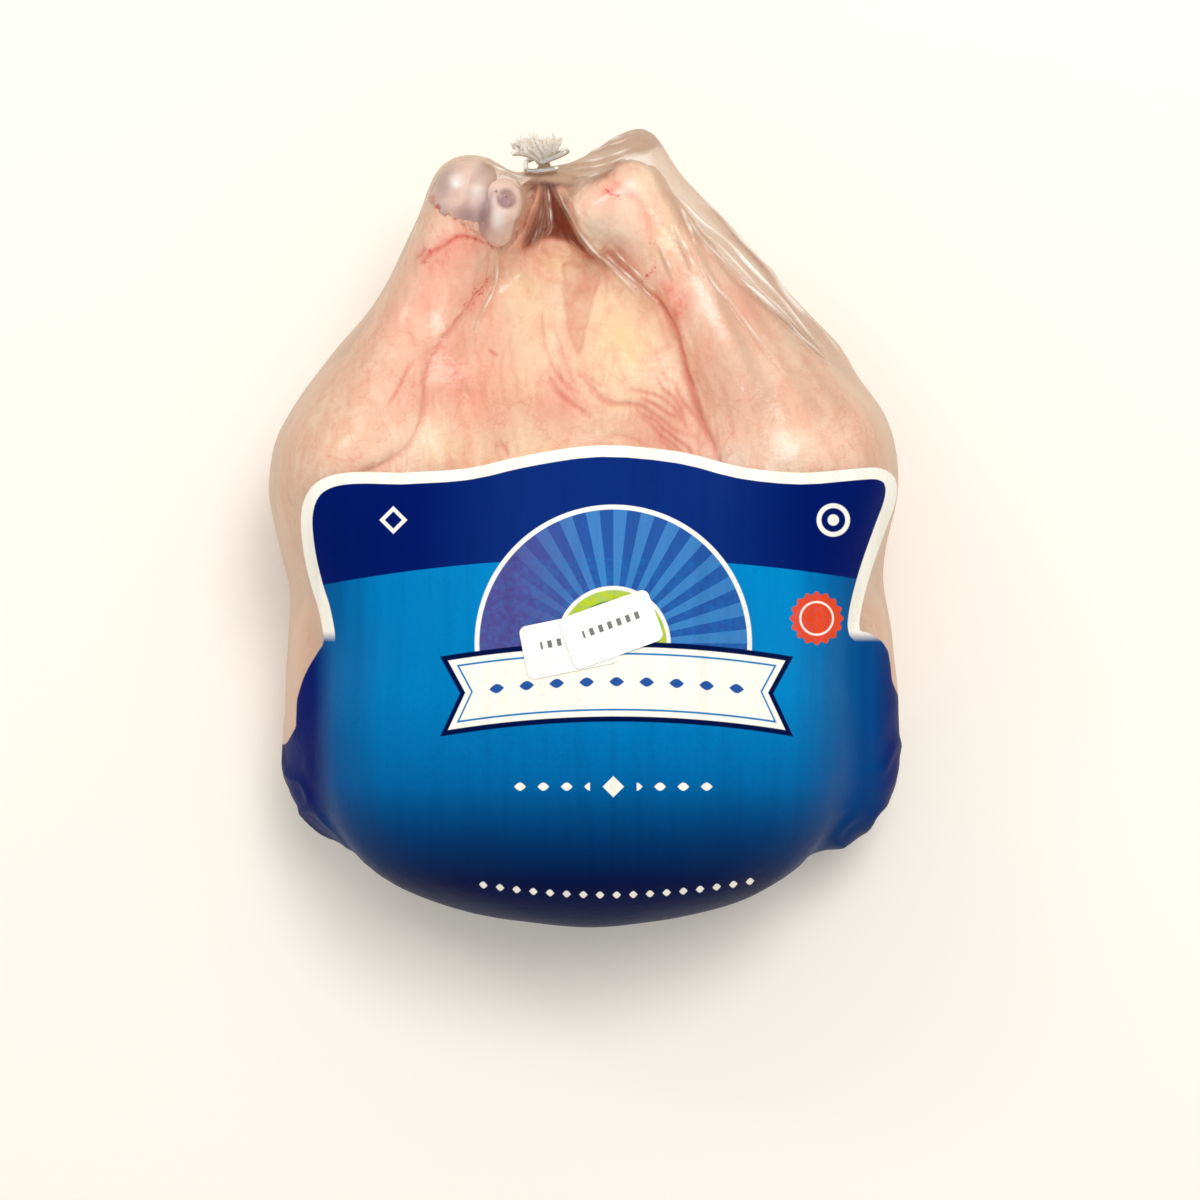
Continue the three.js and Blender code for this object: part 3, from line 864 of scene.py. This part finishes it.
def skin_end_at(places):
    """How far past the ragged edge of the left leg's skin each place lies, below zero on the skin."""
    edge = np.interp(places[:, 0], *np.transpose(SKIN_END))
    torn = 0.5 * np.sin(places[:, 0] * 2.1) + 0.35 * np.sin(places[:, 0] * 4.7 + 1)
    beyond = places[:, 1] - edge + torn
    return np.where((places[:, 0] > SKIN_END[0][0]) & (places[:, 0] < SKIN_END[-1][0]), beyond, -9)


fine_plan = in_plan(points_of(bird))
by_edges = np.abs(skin_end_at(fine_plan)) < EDGE_REACH
for edge in (MEMBRANE_EDGE, HOLLOW_EDGE):
    by_edges |= np.abs(depth_inside(fine_plan, np.array(edge))) < EDGE_REACH
by_edges &= normals_of(bird)[:, 2] > 0
refined(bird, by_edges | near_lines(bird, fold_lines, FOLD_REACH, 0))
evened(bird, 2, 0.3)
bird_points = points_of(bird)
bird_out = normals_of(bird)
bird_plan = in_plan(bird_points)
upper = eased(bird_out[:, 2], -0.15, 0.15)
sunk = np.zeros(len(bird_points))
red_line = np.zeros(len(bird_points))
for line, (path, depth_mm, wide_left, wide_right, redness) in zip(fold_lines, FOLDS):
    gap, side, along = beside(bird_plan, line)
    fading = np.clip(4 * along * (1 - along), 0, 1) ** 0.4
    wide = np.where(side > 0, wide_left, wide_right)
    sunk = np.maximum(sunk, depth_mm * fading * np.exp(-(np.hypot(gap, FOLD_ROUND) - FOLD_ROUND) / wide))
    red_wide = 0.45 + 0.35 * depth_mm
    red_line = np.maximum(red_line, redness * fading * np.exp(-((gap / red_wide) ** 2)))
hollow_depth = depth_inside(bird_plan, curved(HOLLOW_EDGE + HOLLOW_EDGE[:1], 4)[:-1])
membrane_depth = depth_inside(bird_plan, curved(MEMBRANE_EDGE + MEMBRANE_EDGE[:1], 4)[:-1])
sunk += 1.1 * eased(membrane_depth, -0.9, 1.1)
sunk += 2.6 * eased(skin_end_at(bird_plan), -0.6, 1.2)
bird_points -= bird_out * (sunk * upper)[:, None]
bird_points[:, 2] -= 8 * eased(hollow_depth, -1.5, 9) * eased(bird_out[:, 2], 0, 0.5)
loose = eased(bird_points[:, 2], 45, 60) * upper
bird_points += bird_out * (0.2 * crumple(bird_points * (1, 0.6, 1), 7, 21) * loose)[:, None]
bird_points += bird_out * (0.1 * crumple(bird_points * (1, 0.5, 1), 2.6, 22) * loose)[:, None]
set_points(bird, bird_points)
kept_clear(bird)
bird_points = points_of(bird)
bird_points[:, 2] = np.maximum(bird_points[:, 2], PRESSED_GAP)
set_points(bird, bird_points)

# Where the skin is flushed red and where yellow fat shows through: middle in plan, half sizes, slant and
# strength.
FLUSHED = [
    (-47, 101, 11, 7, -0.3, 0.85), (-41, 106, 8, 4, 0, 0.8), (-50, 92, 8, 8, 0, 0.6),
    (-37, 94, 7, 6, 0.3, 0.6), (-37, 89, 5, 5, 0.5, 0.8), (-44, 78, 4, 12, 0.5, 0.5),
    (-58, 92, 10, 12, 0, 0.3), (-30, 74, 10, 14, 0, 0.3), (-50, 60, 6, 10, 0, 0.25),
    (-12, 60, 8, 6, -0.2, 0.5), (-34, 62, 7, 12, 0.2, 0.4), (-44, 67, 6, 10, 0.2, 0.6),
    (20, 50, 14, 8, -0.7, 0.45), (28, 50, 6, 8, -0.6, 0.6), (20, 92, 5, 7, 0.6, 0.7),
    (23, 86, 4, 8, 0.4, 0.9), (20, 94, 4, 8, 0.5, 0.6), (6, 124, 5, 2, 0.6, 0.6), (8, 101, 5, 3, 0.6, 0.7),
    (3, 122.5, 3, 2, 0.4, 1.0), (1.5, 119, 5, 5, 0, 0.3), (14, 114, 4, 5, 0, 0.45),
    (-60, 60, 6, 10, 0.3, 0.3), (-20, 108, 6, 10, 0, 0.45), (44, 60, 18, 12, 0.6, 0.3),
    (42, 84, 10, 18, 0.7, 0.4), (34, 74, 8, 12, 0.4, 0.4),
]
FATTY = [
    (6, 76, 13, 20, 0.1, 0.95), (-22, 86, 8, 16, -0.1, 0.85), (-14, 101, 9, 5, 0, 0.7),
    (-24, 64, 8, 14, 0, 0.55), (-18, 46, 12, 8, 0, 0.5), (-52, 46, 22, 9, 0.25, 0.5),
    (10, 54, 16, 8, -0.3, 0.35), (20, 120, 8, 14, 0, 0.8), (22, 110, 6, 11, 0.3, 0.95),
    (-36, 56, 8, 14, 0.2, 0.35), (48, 52, 14, 8, 0.4, 0.4),
]
BLOODY = [
    (3.4, 122, 2.6, 1.1, 0.5, 1.0), (-1.5, 126.5, 1.0, 2.0, 0.4, 0.7), (-36.5, 92, 2.4, 7, 0.6, 0.65),
    (14.5, 97.5, 1.2, 6, 0.75, 0.7), (-52, 103, 1.2, 3, 0.6, 0.6), (-20.4, 121.5, 1.3, 2.4, 0.2, 1.0),
    (-40, 108.5, 9, 1.0, 0.1, 0.6),
]
# Paler skin: partly the knuckles' own whiter skin, partly painted glare where the film shines over the right
# leg.
PALE = [
    (11, 121, 12, 8, 0, 0.8), (9, 111, 7, 8, 0, 0.95), (18, 98, 5, 8, 0.4, 0.5), (22, 108, 7, 12, 0.3, 0.5),
    (1, 115, 6, 7, 0, 0.9), (30, 92, 8, 12, 0.5, 0.75), (56, 45, 16, 9, 0.2, 0.7), (40, 43, 8, 6, 0, 0.8),
    (44, 60, 9, 16, 0.5, 0.5), (-52, 108, 5, 7, 0, 0.75), (-56, 96, 4, 9, 0.4, 0.4), (-60, 46, 12, 8, 0, 0.6),
    (-66, 60, 6, 14, 0.5, 0.3), (-44, 56, 4, 10, 0, 0.2), (-26, 80, 6, 12, 0, 0.35),
]
# Painted shade: brownish spots round the hollow between the legs and under the clip.
DUSKY = [
    (-20, 114, 5, 12, 0.1, 0.6), (-26, 103, 10, 4, -0.4, 0.5), (4, 102, 4, 6, 0.6, 0.9),
    (-14, 128, 12, 4, 0, 0.5),
]


def patches(places, spots):
    """How strongly soft patches show at each place."""
    total = np.zeros(len(places))
    for x, y, half_x, half_y, slant, strength in spots:
        dx, dy = places[:, 0] - x, places[:, 1] - y
        a = dx * math.cos(slant) - dy * math.sin(slant)
        b = dx * math.sin(slant) + dy * math.cos(slant)
        total = np.maximum(total, strength * np.exp(-((a / half_x) ** 2) - (b / half_y) ** 2))
    return total


bird_plan = in_plan(bird_points)
on_top = eased(bird_points[:, 2], 38, 52)
kept_values(
    bird,
    flush=patches(bird_plan, FLUSHED) * on_top,
    pale=patches(bird_plan, PALE) * on_top,
    creased=red_line * on_top * eased(bird_out[:, 2], -0.1, 0.2),
    bloody=patches(bird_plan, BLOODY) * on_top,
    fat=patches(bird_plan, FATTY) * on_top,
    dusky=np.maximum(patches(bird_plan, DUSKY), 0.5 * eased(membrane_depth, -1.2, 1.0)) * on_top,
    deep=eased(hollow_depth, -1.2, 3.2) * on_top,
)

bird_finish, tree = new_material("raw_chicken_skin")
deep = of_corner(tree, "deep")
bloody = of_corner(tree, "bloody")
mottle = grain(tree, 150, 6.0, (1, 0.6, 1), 0.66)
clouds = grain(tree, 46, 3.0, (1, 0.7, 1))
fatty = (of_corner(tree, "fat") * (mottle.past(0.45, 0.07) * 0.75 + 0.35)).least(1.0)
flushed = of_corner(tree, "flush") * (mottle.past(0.5, 0.08) * 0.75 + 0.3)
flushed = (flushed * (clouds.past(0.47, 0.12) * 0.6 + 0.6)).least(1.0)
vessels = 1 - (grain(tree, 85, 4.0, (1, 0.8, 1), 0.6) - 0.5).size().past(0.011, 0.008)
spilt = (grain(tree, 620, 4.0, (1, 1, 1), 0.65) + bloody * 0.22).past(0.68, 0.05)
streaks = grain(tree, 300, 3.0, (1, 0.15, 0.3)).past(0.5, 0.12)
skin = painted(
    tree, tint(246, 196, 169),
    (mottle.past(0.5, 0.08), tint(255, 230, 206)),
    (grain(tree, 560, 3.0).past(0.56, 0.1) * 0.2, tint(230, 168, 142)),
    (fatty, tint(255, 230, 184)),
    (clouds.past(0.55, 0.08) * mottle.past(0.46, 0.1) * 0.45, tint(246, 180, 154)),
    # Paler skin, with painted glare on the right leg.
    (of_corner(tree, "pale") * (mottle.past(0.5, 0.2) * 0.35 + 0.65), tint(255, 238, 220)),
    (flushed, tint(236, 122, 98)),
    (vessels * clouds.past(0.5, 0.1) * 0.25, tint(224, 110, 94)),
    (of_corner(tree, "creased") * (mottle * 0.5 + 0.5), tint(216, 90, 72)),
    (spilt * bloody.past(0.2, 0.15) * 0.85, tint(210, 66, 60)),
    # The membrane's own duller colour, and painted shade round the hollow.
    (of_corner(tree, "dusky") * (streaks * 0.35 + 0.62), tint(214, 142, 112)),
    # Deep in the hollow between the legs: painted shade, orange-brown and darkest brown at its bottom.
    (deep * (streaks * 0.3 + 0.75), tint(190, 100, 62)),
    (deep.past(0.7, 0.25) * 0.8, tint(122, 48, 28)),
)
pores = grain(tree, 620, 3.0)
creping = grain(tree, 240, 4.0, (1, 0.6, 1), 0.65)
skin_tilt = relief(tree, pores * 0.35 + creping * 0.65, 0.9, 0.7)
flesh = made_node(tree, "ShaderNodeBsdfPrincipled", Base_Color=skin, Roughness=0.27, Normal=skin_tilt)
coated(bird, bird_finish, flesh)
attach(bird, "root")
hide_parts("bagged_chicken")

# The foot is cut off at the hock, so the left bone end shows: smooth bluish-white gristle over two knuckles,
# with the cut end of a sinew sheath standing beside it and a ragged edge of skin drawn back below.
BONE_GRAIN = 0.7
BONE_BALLS = [
    ((-37.5, 98.0, 65.6), (10.6, 12.8, 12.4), 0.2),
    ((-42.0, 94.5, 66.5), (8.0, 9.5, 9.2), 0),
    ((-33.5, 101.5, 68.5), (6.4, 7.2, 7.4), 0),
    ((-33.0, 94.5, 70.5), (4.0, 4.6, 5.2), 0),
]
SHEATH = ((-26.8, 87.0, 71), (-24.0, 95.5, 77.5), 5.1, 5.3, 1)
SHEATH_END = (-23.6, 94.8, 79.0)
SHEATH_HOLE = 3.4
bone_parts = [ball(*shape) for shape in BONE_BALLS] + limb(*SHEATH)
bone = joined(bone_parts, "left_bone_end", BONE_GRAIN)
evened(bone, 3, 0.5)
held_inside(bone, 0.45, 0.8, 2.0)
bone_points = points_of(bone)
bone_out = normals_of(bone)
bone_plan = in_plan(bone_points)
hole_at = in_plan(np.array([SHEATH_END]))[0]
from_hole = np.hypot(*(bone_plan - hole_at).T)
lip = np.exp(-(((from_hole - SHEATH_HOLE - 0.8) / 0.8) ** 2))
on_upper = eased(bone_out[:, 2], -0.3, 0.1)
swelling = 0.3 * lip + 0.25 * crumple(bone_points, 9, 31)
under_skin = 2.4 * (1 - eased(skin_end_at(bone_plan), -1.6, 0.2)) * (bone_plan[:, 0] < -34)
bone_points += bone_out * ((swelling - under_skin) * on_upper)[:, None]
bone_points[:, 2] -= 0.9 * (1 - eased(from_hole, SHEATH_HOLE - 2.2, SHEATH_HOLE + 0.6)) * on_upper
set_points(bone, bone_points)
kept_clear(bone, 0.4)
bone_plan = in_plan(points_of(bone))
SPLASHES = [
    (-50.7, 120.2, 1.2, 1.4, 0, 1), (-48.8, 117.6, 1.0, 1.4, 0.3, 1), (-20.4, 122, 1.0, 1.6, 0, 0.9),
    (-21.6, 118.4, 1.2, 1.0, 0, 0.8), (-35, 106.4, 3, 1.0, 0.2, 0.7), (-26, 105, 4, 1.2, 0, 0.7),
]
# Painted shade in the gristle's mauve: on the rim of the knob, below its shine and between the knob and the
# sheath.
SHADES = [
    (-47, 128, 4, 9, 0.3, 0.8), (-42, 134, 6, 2.5, 0, 0.7), (-48, 117, 4, 3, 0, 0.5),
    (-35, 115, 2.4, 7, 0.2, 0.95), (-34, 131, 3, 5, 0.4, 0.8), (-40, 115, 4, 3, 0, 0.7),
    (-22.8, 112, 1.5, 5, 0, 0.6),
]
# Painted highlights where the wet gristle shines.
SHINES = [
    (-43, 126, 2.6, 2.2, 0, 1.0), (-37, 122.4, 2.2, 2.6, 0.3, 0.9), (-30.5, 114, 1.6, 4.2, 0, 0.9),
    (-31, 119.5, 1.4, 1.8, 0, 0.5),
]
bone_top = eased(normals_of(bone)[:, 2], 0.05, 0.4)
kept_values(
    bone,
    flush=patches(bone_plan, SPLASHES) * bone_top,
    hole=1 - eased(from_hole, SHEATH_HOLE - 1.4, SHEATH_HOLE + 0.6),
    shine=patches(bone_plan, SHINES) * bone_top,
    purple=patches(bone_plan, SHADES),
)

gristle, tree = new_material("wet_gristle")
hole = of_corner(tree, "hole")
# The gristle's own pale colour, under painted shade and painted shine.
pale = painted(
    tree, tint(240, 208, 198),
    (grain(tree, 150, 3.0).past(0.5, 0.14), tint(252, 230, 216)),
    (of_corner(tree, "purple"), tint(156, 130, 144)),
    (of_corner(tree, "shine"), tint(255, 250, 246)),
    # Painted shade in the open end of the sheath, darkest in its middle.
    (hole, tint(194, 160, 162)),
    (hole.past(0.7, 0.25) * 0.7, tint(168, 128, 130)),
    ((of_corner(tree, "flush") * (grain(tree, 500, 2.0) + 0.6)).past(0.45, 0.2), tint(206, 62, 60)),
)
wet = made_node(
    tree, "ShaderNodeBsdfPrincipled", Base_Color=pale, Roughness=0.2,
    Subsurface_Weight=0.3, Subsurface_Radius=(0.9, 0.7, 0.7), Subsurface_Scale=3 * MM,
    Coat_Weight=1.0, Coat_Roughness=0.08, Normal=relief(tree, grain(tree, 320, 2.0), 0.25, 0.4),
)
coated(bone, gristle, wet)
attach(bone, "root")
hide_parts("bagged_chicken")

# The clip is one soft aluminium wire, bent round the gathered neck and pressed shut by a machine. Its far leg
# is turned back on itself in a pointed loop.
CLIP_WIRE = 1.6
WIRE_FACETS = 5
CLIP_HALF_LONG = 5.2
CLIP_HALF_HIGH = 3.1
CLIP_ACROSS = np.array([1, 0.1, 0.08]) / math.hypot(1, 0.1, 0.08)
CLIP_UP = np.cross(CLIP_ACROSS, NECK_WAY) / np.linalg.norm(np.cross(CLIP_ACROSS, NECK_WAY))
CLIP_BENDS = [
    (0.85, 1, 0), (-0.5, 1.04, 0), (-0.95, 0.62, 0), (-1, -0.6, 0), (-0.55, -1.04, 0.3), (0.3, -1.05, 0.9),
    (1.0, -0.8, 2.2), (1.4, 0, 3.8), (1.38, 0.55, 4.3), (0.7, 0.85, 3.5), (-0.1, 1.0, 2.7),
]


def clip_place(long, high, off):
    return NECK + long * CLIP_HALF_LONG * CLIP_ACROSS + high * CLIP_HALF_HIGH * CLIP_UP + off * NECK_WAY


def swept(name, line, radius):
    """A closed wire along a line of points in millimetres, a little thinner at its two ends."""
    curve = bpy.data.curves.new(name, "CURVE")
    curve.dimensions = "3D"
    curve.bevel_depth = radius * MM
    curve.bevel_resolution = WIRE_FACETS
    curve.use_fill_caps = True
    spline = curve.splines.new("POLY")
    spline.points.add(len(line) - 1)
    for place, point in zip(spline.points, line):
        place.co = (*(point * MM), 1)
    spline.points[0].radius = 0.75
    spline.points[-1].radius = 0.75
    wire = bpy.data.objects.new(name, curve)
    bpy.context.scene.collection.objects.link(wire)
    alone(wire)
    bpy.ops.object.convert(target="MESH")
    return bpy.context.object


clip_line = curved([clip_place(*bend) for bend in CLIP_BENDS], 8)
clip = swept("wire_clip_bent", clip_line, CLIP_WIRE / 2)
merged(clip)
aluminium, tree = new_material("soft_aluminium")
drawn = grain(tree, 900, 2.0, (0.3, 1, 1))
metal_colour = over(tree, tint(212, 210, 203), drawn.past(0.5, 0.2), tint(240, 238, 231))
metal = made_node(
    tree, "ShaderNodeBsdfPrincipled", Base_Color=metal_colour, Metallic=1.0,
    Roughness=drawn * 0.2 + 0.12, Normal=relief(tree, drawn, 0.12, 0.5),
)
coated(clip, aluminium, metal, 50)
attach(clip, "root")
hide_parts("wire_clip")

# Past the clip the gathered film opens in a short fan of two ruffles, one inside the other. It was cut hot
# and tugged, so it is pleated, milky and frayed at its edge, and it leans to the left.
RUFFLES = [
    # pleats, length, spread and a number that makes each one differ
    (17, 6.6, 4.4, 1.0),
    (13, 7.4, 2.8, 2.7),
]


def ruffle(pleats, length, spread, unlike):
    """A pleated cone of film that opens past the clip to a torn edge."""
    bpy.ops.mesh.primitive_grid_add(x_subdivisions=150, y_subdivisions=16, size=1)
    cone = bpy.context.object
    grid = points_of(cone) * MM
    turned = 2 * math.pi * (grid[:, 0] + 0.5)
    along = grid[:, 1] + 0.5
    torn = 0.15 * np.sin(4 * turned + unlike) + 0.1 * np.sin(13 * turned + 2 * unlike)
    torn += 0.09 * np.sin(31 * turned)
    reach = length * along * (1 + torn * along**2)
    pleat = np.sin(pleats * turned + 2.5 * np.sin(2 * turned + unlike)) * 0.65 * along
    out = 1.5 + spread * along**1.2 * (1 + 0.3 * np.sin(3 * turned + unlike)) + pleat
    place = NECK + (0.4 + reach)[:, None] * NECK_WAY
    place = place + (out * np.cos(turned) * (1 + 0.12 * unlike) - 1.8 * along**2)[:, None] * CLIP_ACROSS
    place = place + (0.5 * out * np.sin(turned))[:, None] * CLIP_UP
    set_points(cone, place)
    merged(cone)
    return cone


tail = joined([ruffle(*shape) for shape in RUFFLES], "gathered_tail")
worked(tail, "SOLIDIFY", thickness=0.12 * MM, offset=0)
milky, tree = new_material("milky_film")
creases = grain(tree, 520, 3.0, (1, 0.4, 0.4))
milk = over(tree, tint(250, 243, 230), creases.past(0.5, 0.2), tint(255, 252, 245))
frayed = made_node(
    tree, "ShaderNodeBsdfPrincipled", Base_Color=milk, Roughness=0.3, Normal=relief(tree, creases, 0.4, 0.5),
)
gap_light = made_node(tree, "ShaderNodeBsdfTransparent", Color=(1, 0.99, 0.97, 1))
coated(tail, milky, mixed(tree, creases.past(0.5, 0.3) * 0.35 + 0.4, gap_light, frayed))
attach(tail, "root")
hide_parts("bagged_chicken")

# Two slips of white paper with round corners are stuck on the film over the breast, the second a little askew
# over the first. Each takes the curve of the film. They are bare but for a few plain printed dashes.
LABEL_HALF = (13.0, 7.5)
LABEL_CORNER = 2.0
LABEL_THICK = 0.16
LABELS = [
    # piece, CAD node, middle, turn and how far it stands off the film
    ("lower_slip", "lower_label", (-5.1, -33.3), 0.2, 0.42),
    ("upper_slip", "upper_label", (6.3, -29.2), 0.345, 0.92),
]
paper, tree = new_material("label_paper")
slip_u = of_corner(tree, "slip_u")
slip_v = of_corner(tree, "slip_v")
fibre = grain(tree, 700, 3.0)
white = over(tree, tint(243, 240, 235), fibre.past(0.5, 0.2), tint(252, 251, 248))
dash = waves(slip_u, 2.6).past(0.1, 0.12)
row = (1.0 - (slip_v - 1.2).size()).past(0, 0.06) * (1 - (slip_u - 0.6).size().past(8.4, 0.1))
white = over(tree, white, row * dash * 0.85, tint(52, 50, 56))
sheet = made_node(
    tree, "ShaderNodeBsdfPrincipled", Base_Color=white, Roughness=0.55, Normal=relief(tree, fibre, 0.08, 0.4),
)

for name, node, middle, turned, lift in LABELS:
    bpy.ops.mesh.primitive_grid_add(x_subdivisions=52, y_subdivisions=30, size=2)
    slip = bpy.context.object
    slip.name = name
    slip.data.name = name
    grid = points_of(slip) * MM
    past_straight = (np.abs(grid[:, 1]) - 1) * LABEL_HALF[1] / LABEL_CORNER + 1
    drawn_in = LABEL_CORNER * (1 - np.sqrt(1 - np.clip(past_straight, 0, 1) ** 2))
    x = grid[:, 0] * (LABEL_HALF[0] - drawn_in)
    y = grid[:, 1] * LABEL_HALF[1]
    spot_x = middle[0] + x * math.cos(turned) - y * math.sin(turned)
    spot_y = middle[1] + x * math.sin(turned) + y * math.cos(turned)
    laid = []
    for place_x, place_y in zip(spot_x, spot_y):
        spot, way, _, _ = film_skin.ray_cast(Vector((place_x * MM, place_y * MM, 0.2)), Vector((0, 0, -1)))
        laid.append(np.array(spot) / MM + np.array(way) * lift)
    set_points(slip, np.array(laid))
    kept_values(slip, slip_u=x, slip_v=y)
    evened(slip, 3, 0.4)
    worked(slip, "SOLIDIFY", thickness=LABEL_THICK * MM, offset=0)
    coated(slip, paper, sheet, 50)
    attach(slip, "root")
    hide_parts(node)

# The bird lies on a plain pale table in a pale room, with a soft lamp overhead and a faint window at its
# upper left. Each of them also has a small twin, which is what the wet skin and the film mirror.
bpy.ops.mesh.primitive_plane_add(size=6, location=(0, 0, -0.0003))
floor = bpy.context.object
floor.name = "pale_table"
table_finish, tree = new_material("pale_table_top")
tone = over(tree, tint(250, 246, 236), grain(tree, 3, 2.0).past(0.5, 0.3), tint(252, 248, 240))
top = made_node(tree, "ShaderNodeBsdfPrincipled", Base_Color=tone, Roughness=0.7)
coated(floor, table_finish, top)


def lamp(name, place, wide, power, mirrored):
    """A round lamp that faces the bird. Only a mirrored one shows as a bright spot on wet surfaces."""
    light = bpy.data.lights.new(name, "AREA")
    light.shape = "DISK"
    light.size = wide
    light.energy = power
    light.color = (1, 0.985, 0.96)
    lit = bpy.data.objects.new(name, light)
    lit.location = place
    lit.rotation_euler = (Vector((0, 0, 0.05)) - Vector(place)).to_track_quat("-Z", "Y").to_euler()
    lit.visible_glossy = mirrored
    bpy.context.scene.collection.objects.link(lit)


lamp("ceiling_light", (0.2, 0.4, 1.25), 0.6, 6.6, False)
lamp("ceiling_light_glow", (0.24, 0.53, 1.2), 0.3, 1.7, True)
lamp("window", (-0.8, 0.7, 0.9), 0.5, 1.4, False)
lamp("window_glow", (-0.8, 0.7, 0.9), 0.12, 0.5, True)
world = bpy.data.worlds.new("pale_room")
world.use_nodes = True
world.node_tree.nodes["Background"].inputs["Color"].default_value = (1, 0.985, 0.965, 1)
world.node_tree.nodes["Background"].inputs["Strength"].default_value = 0.66
bpy.context.scene.world = world
bpy.context.scene.view_settings.view_transform = "Standard"

camera_data = bpy.data.cameras.new("from_above")
camera_data.sensor_width = 36
camera_data.lens = 75
camera = bpy.data.objects.new("from_above", camera_data)
camera.location = (PLAN_MIDDLE[0] * MM, PLAN_MIDDLE[1] * MM, PLAN_HEIGHT * MM)
bpy.context.scene.collection.objects.link(camera)
bpy.context.scene.camera = camera
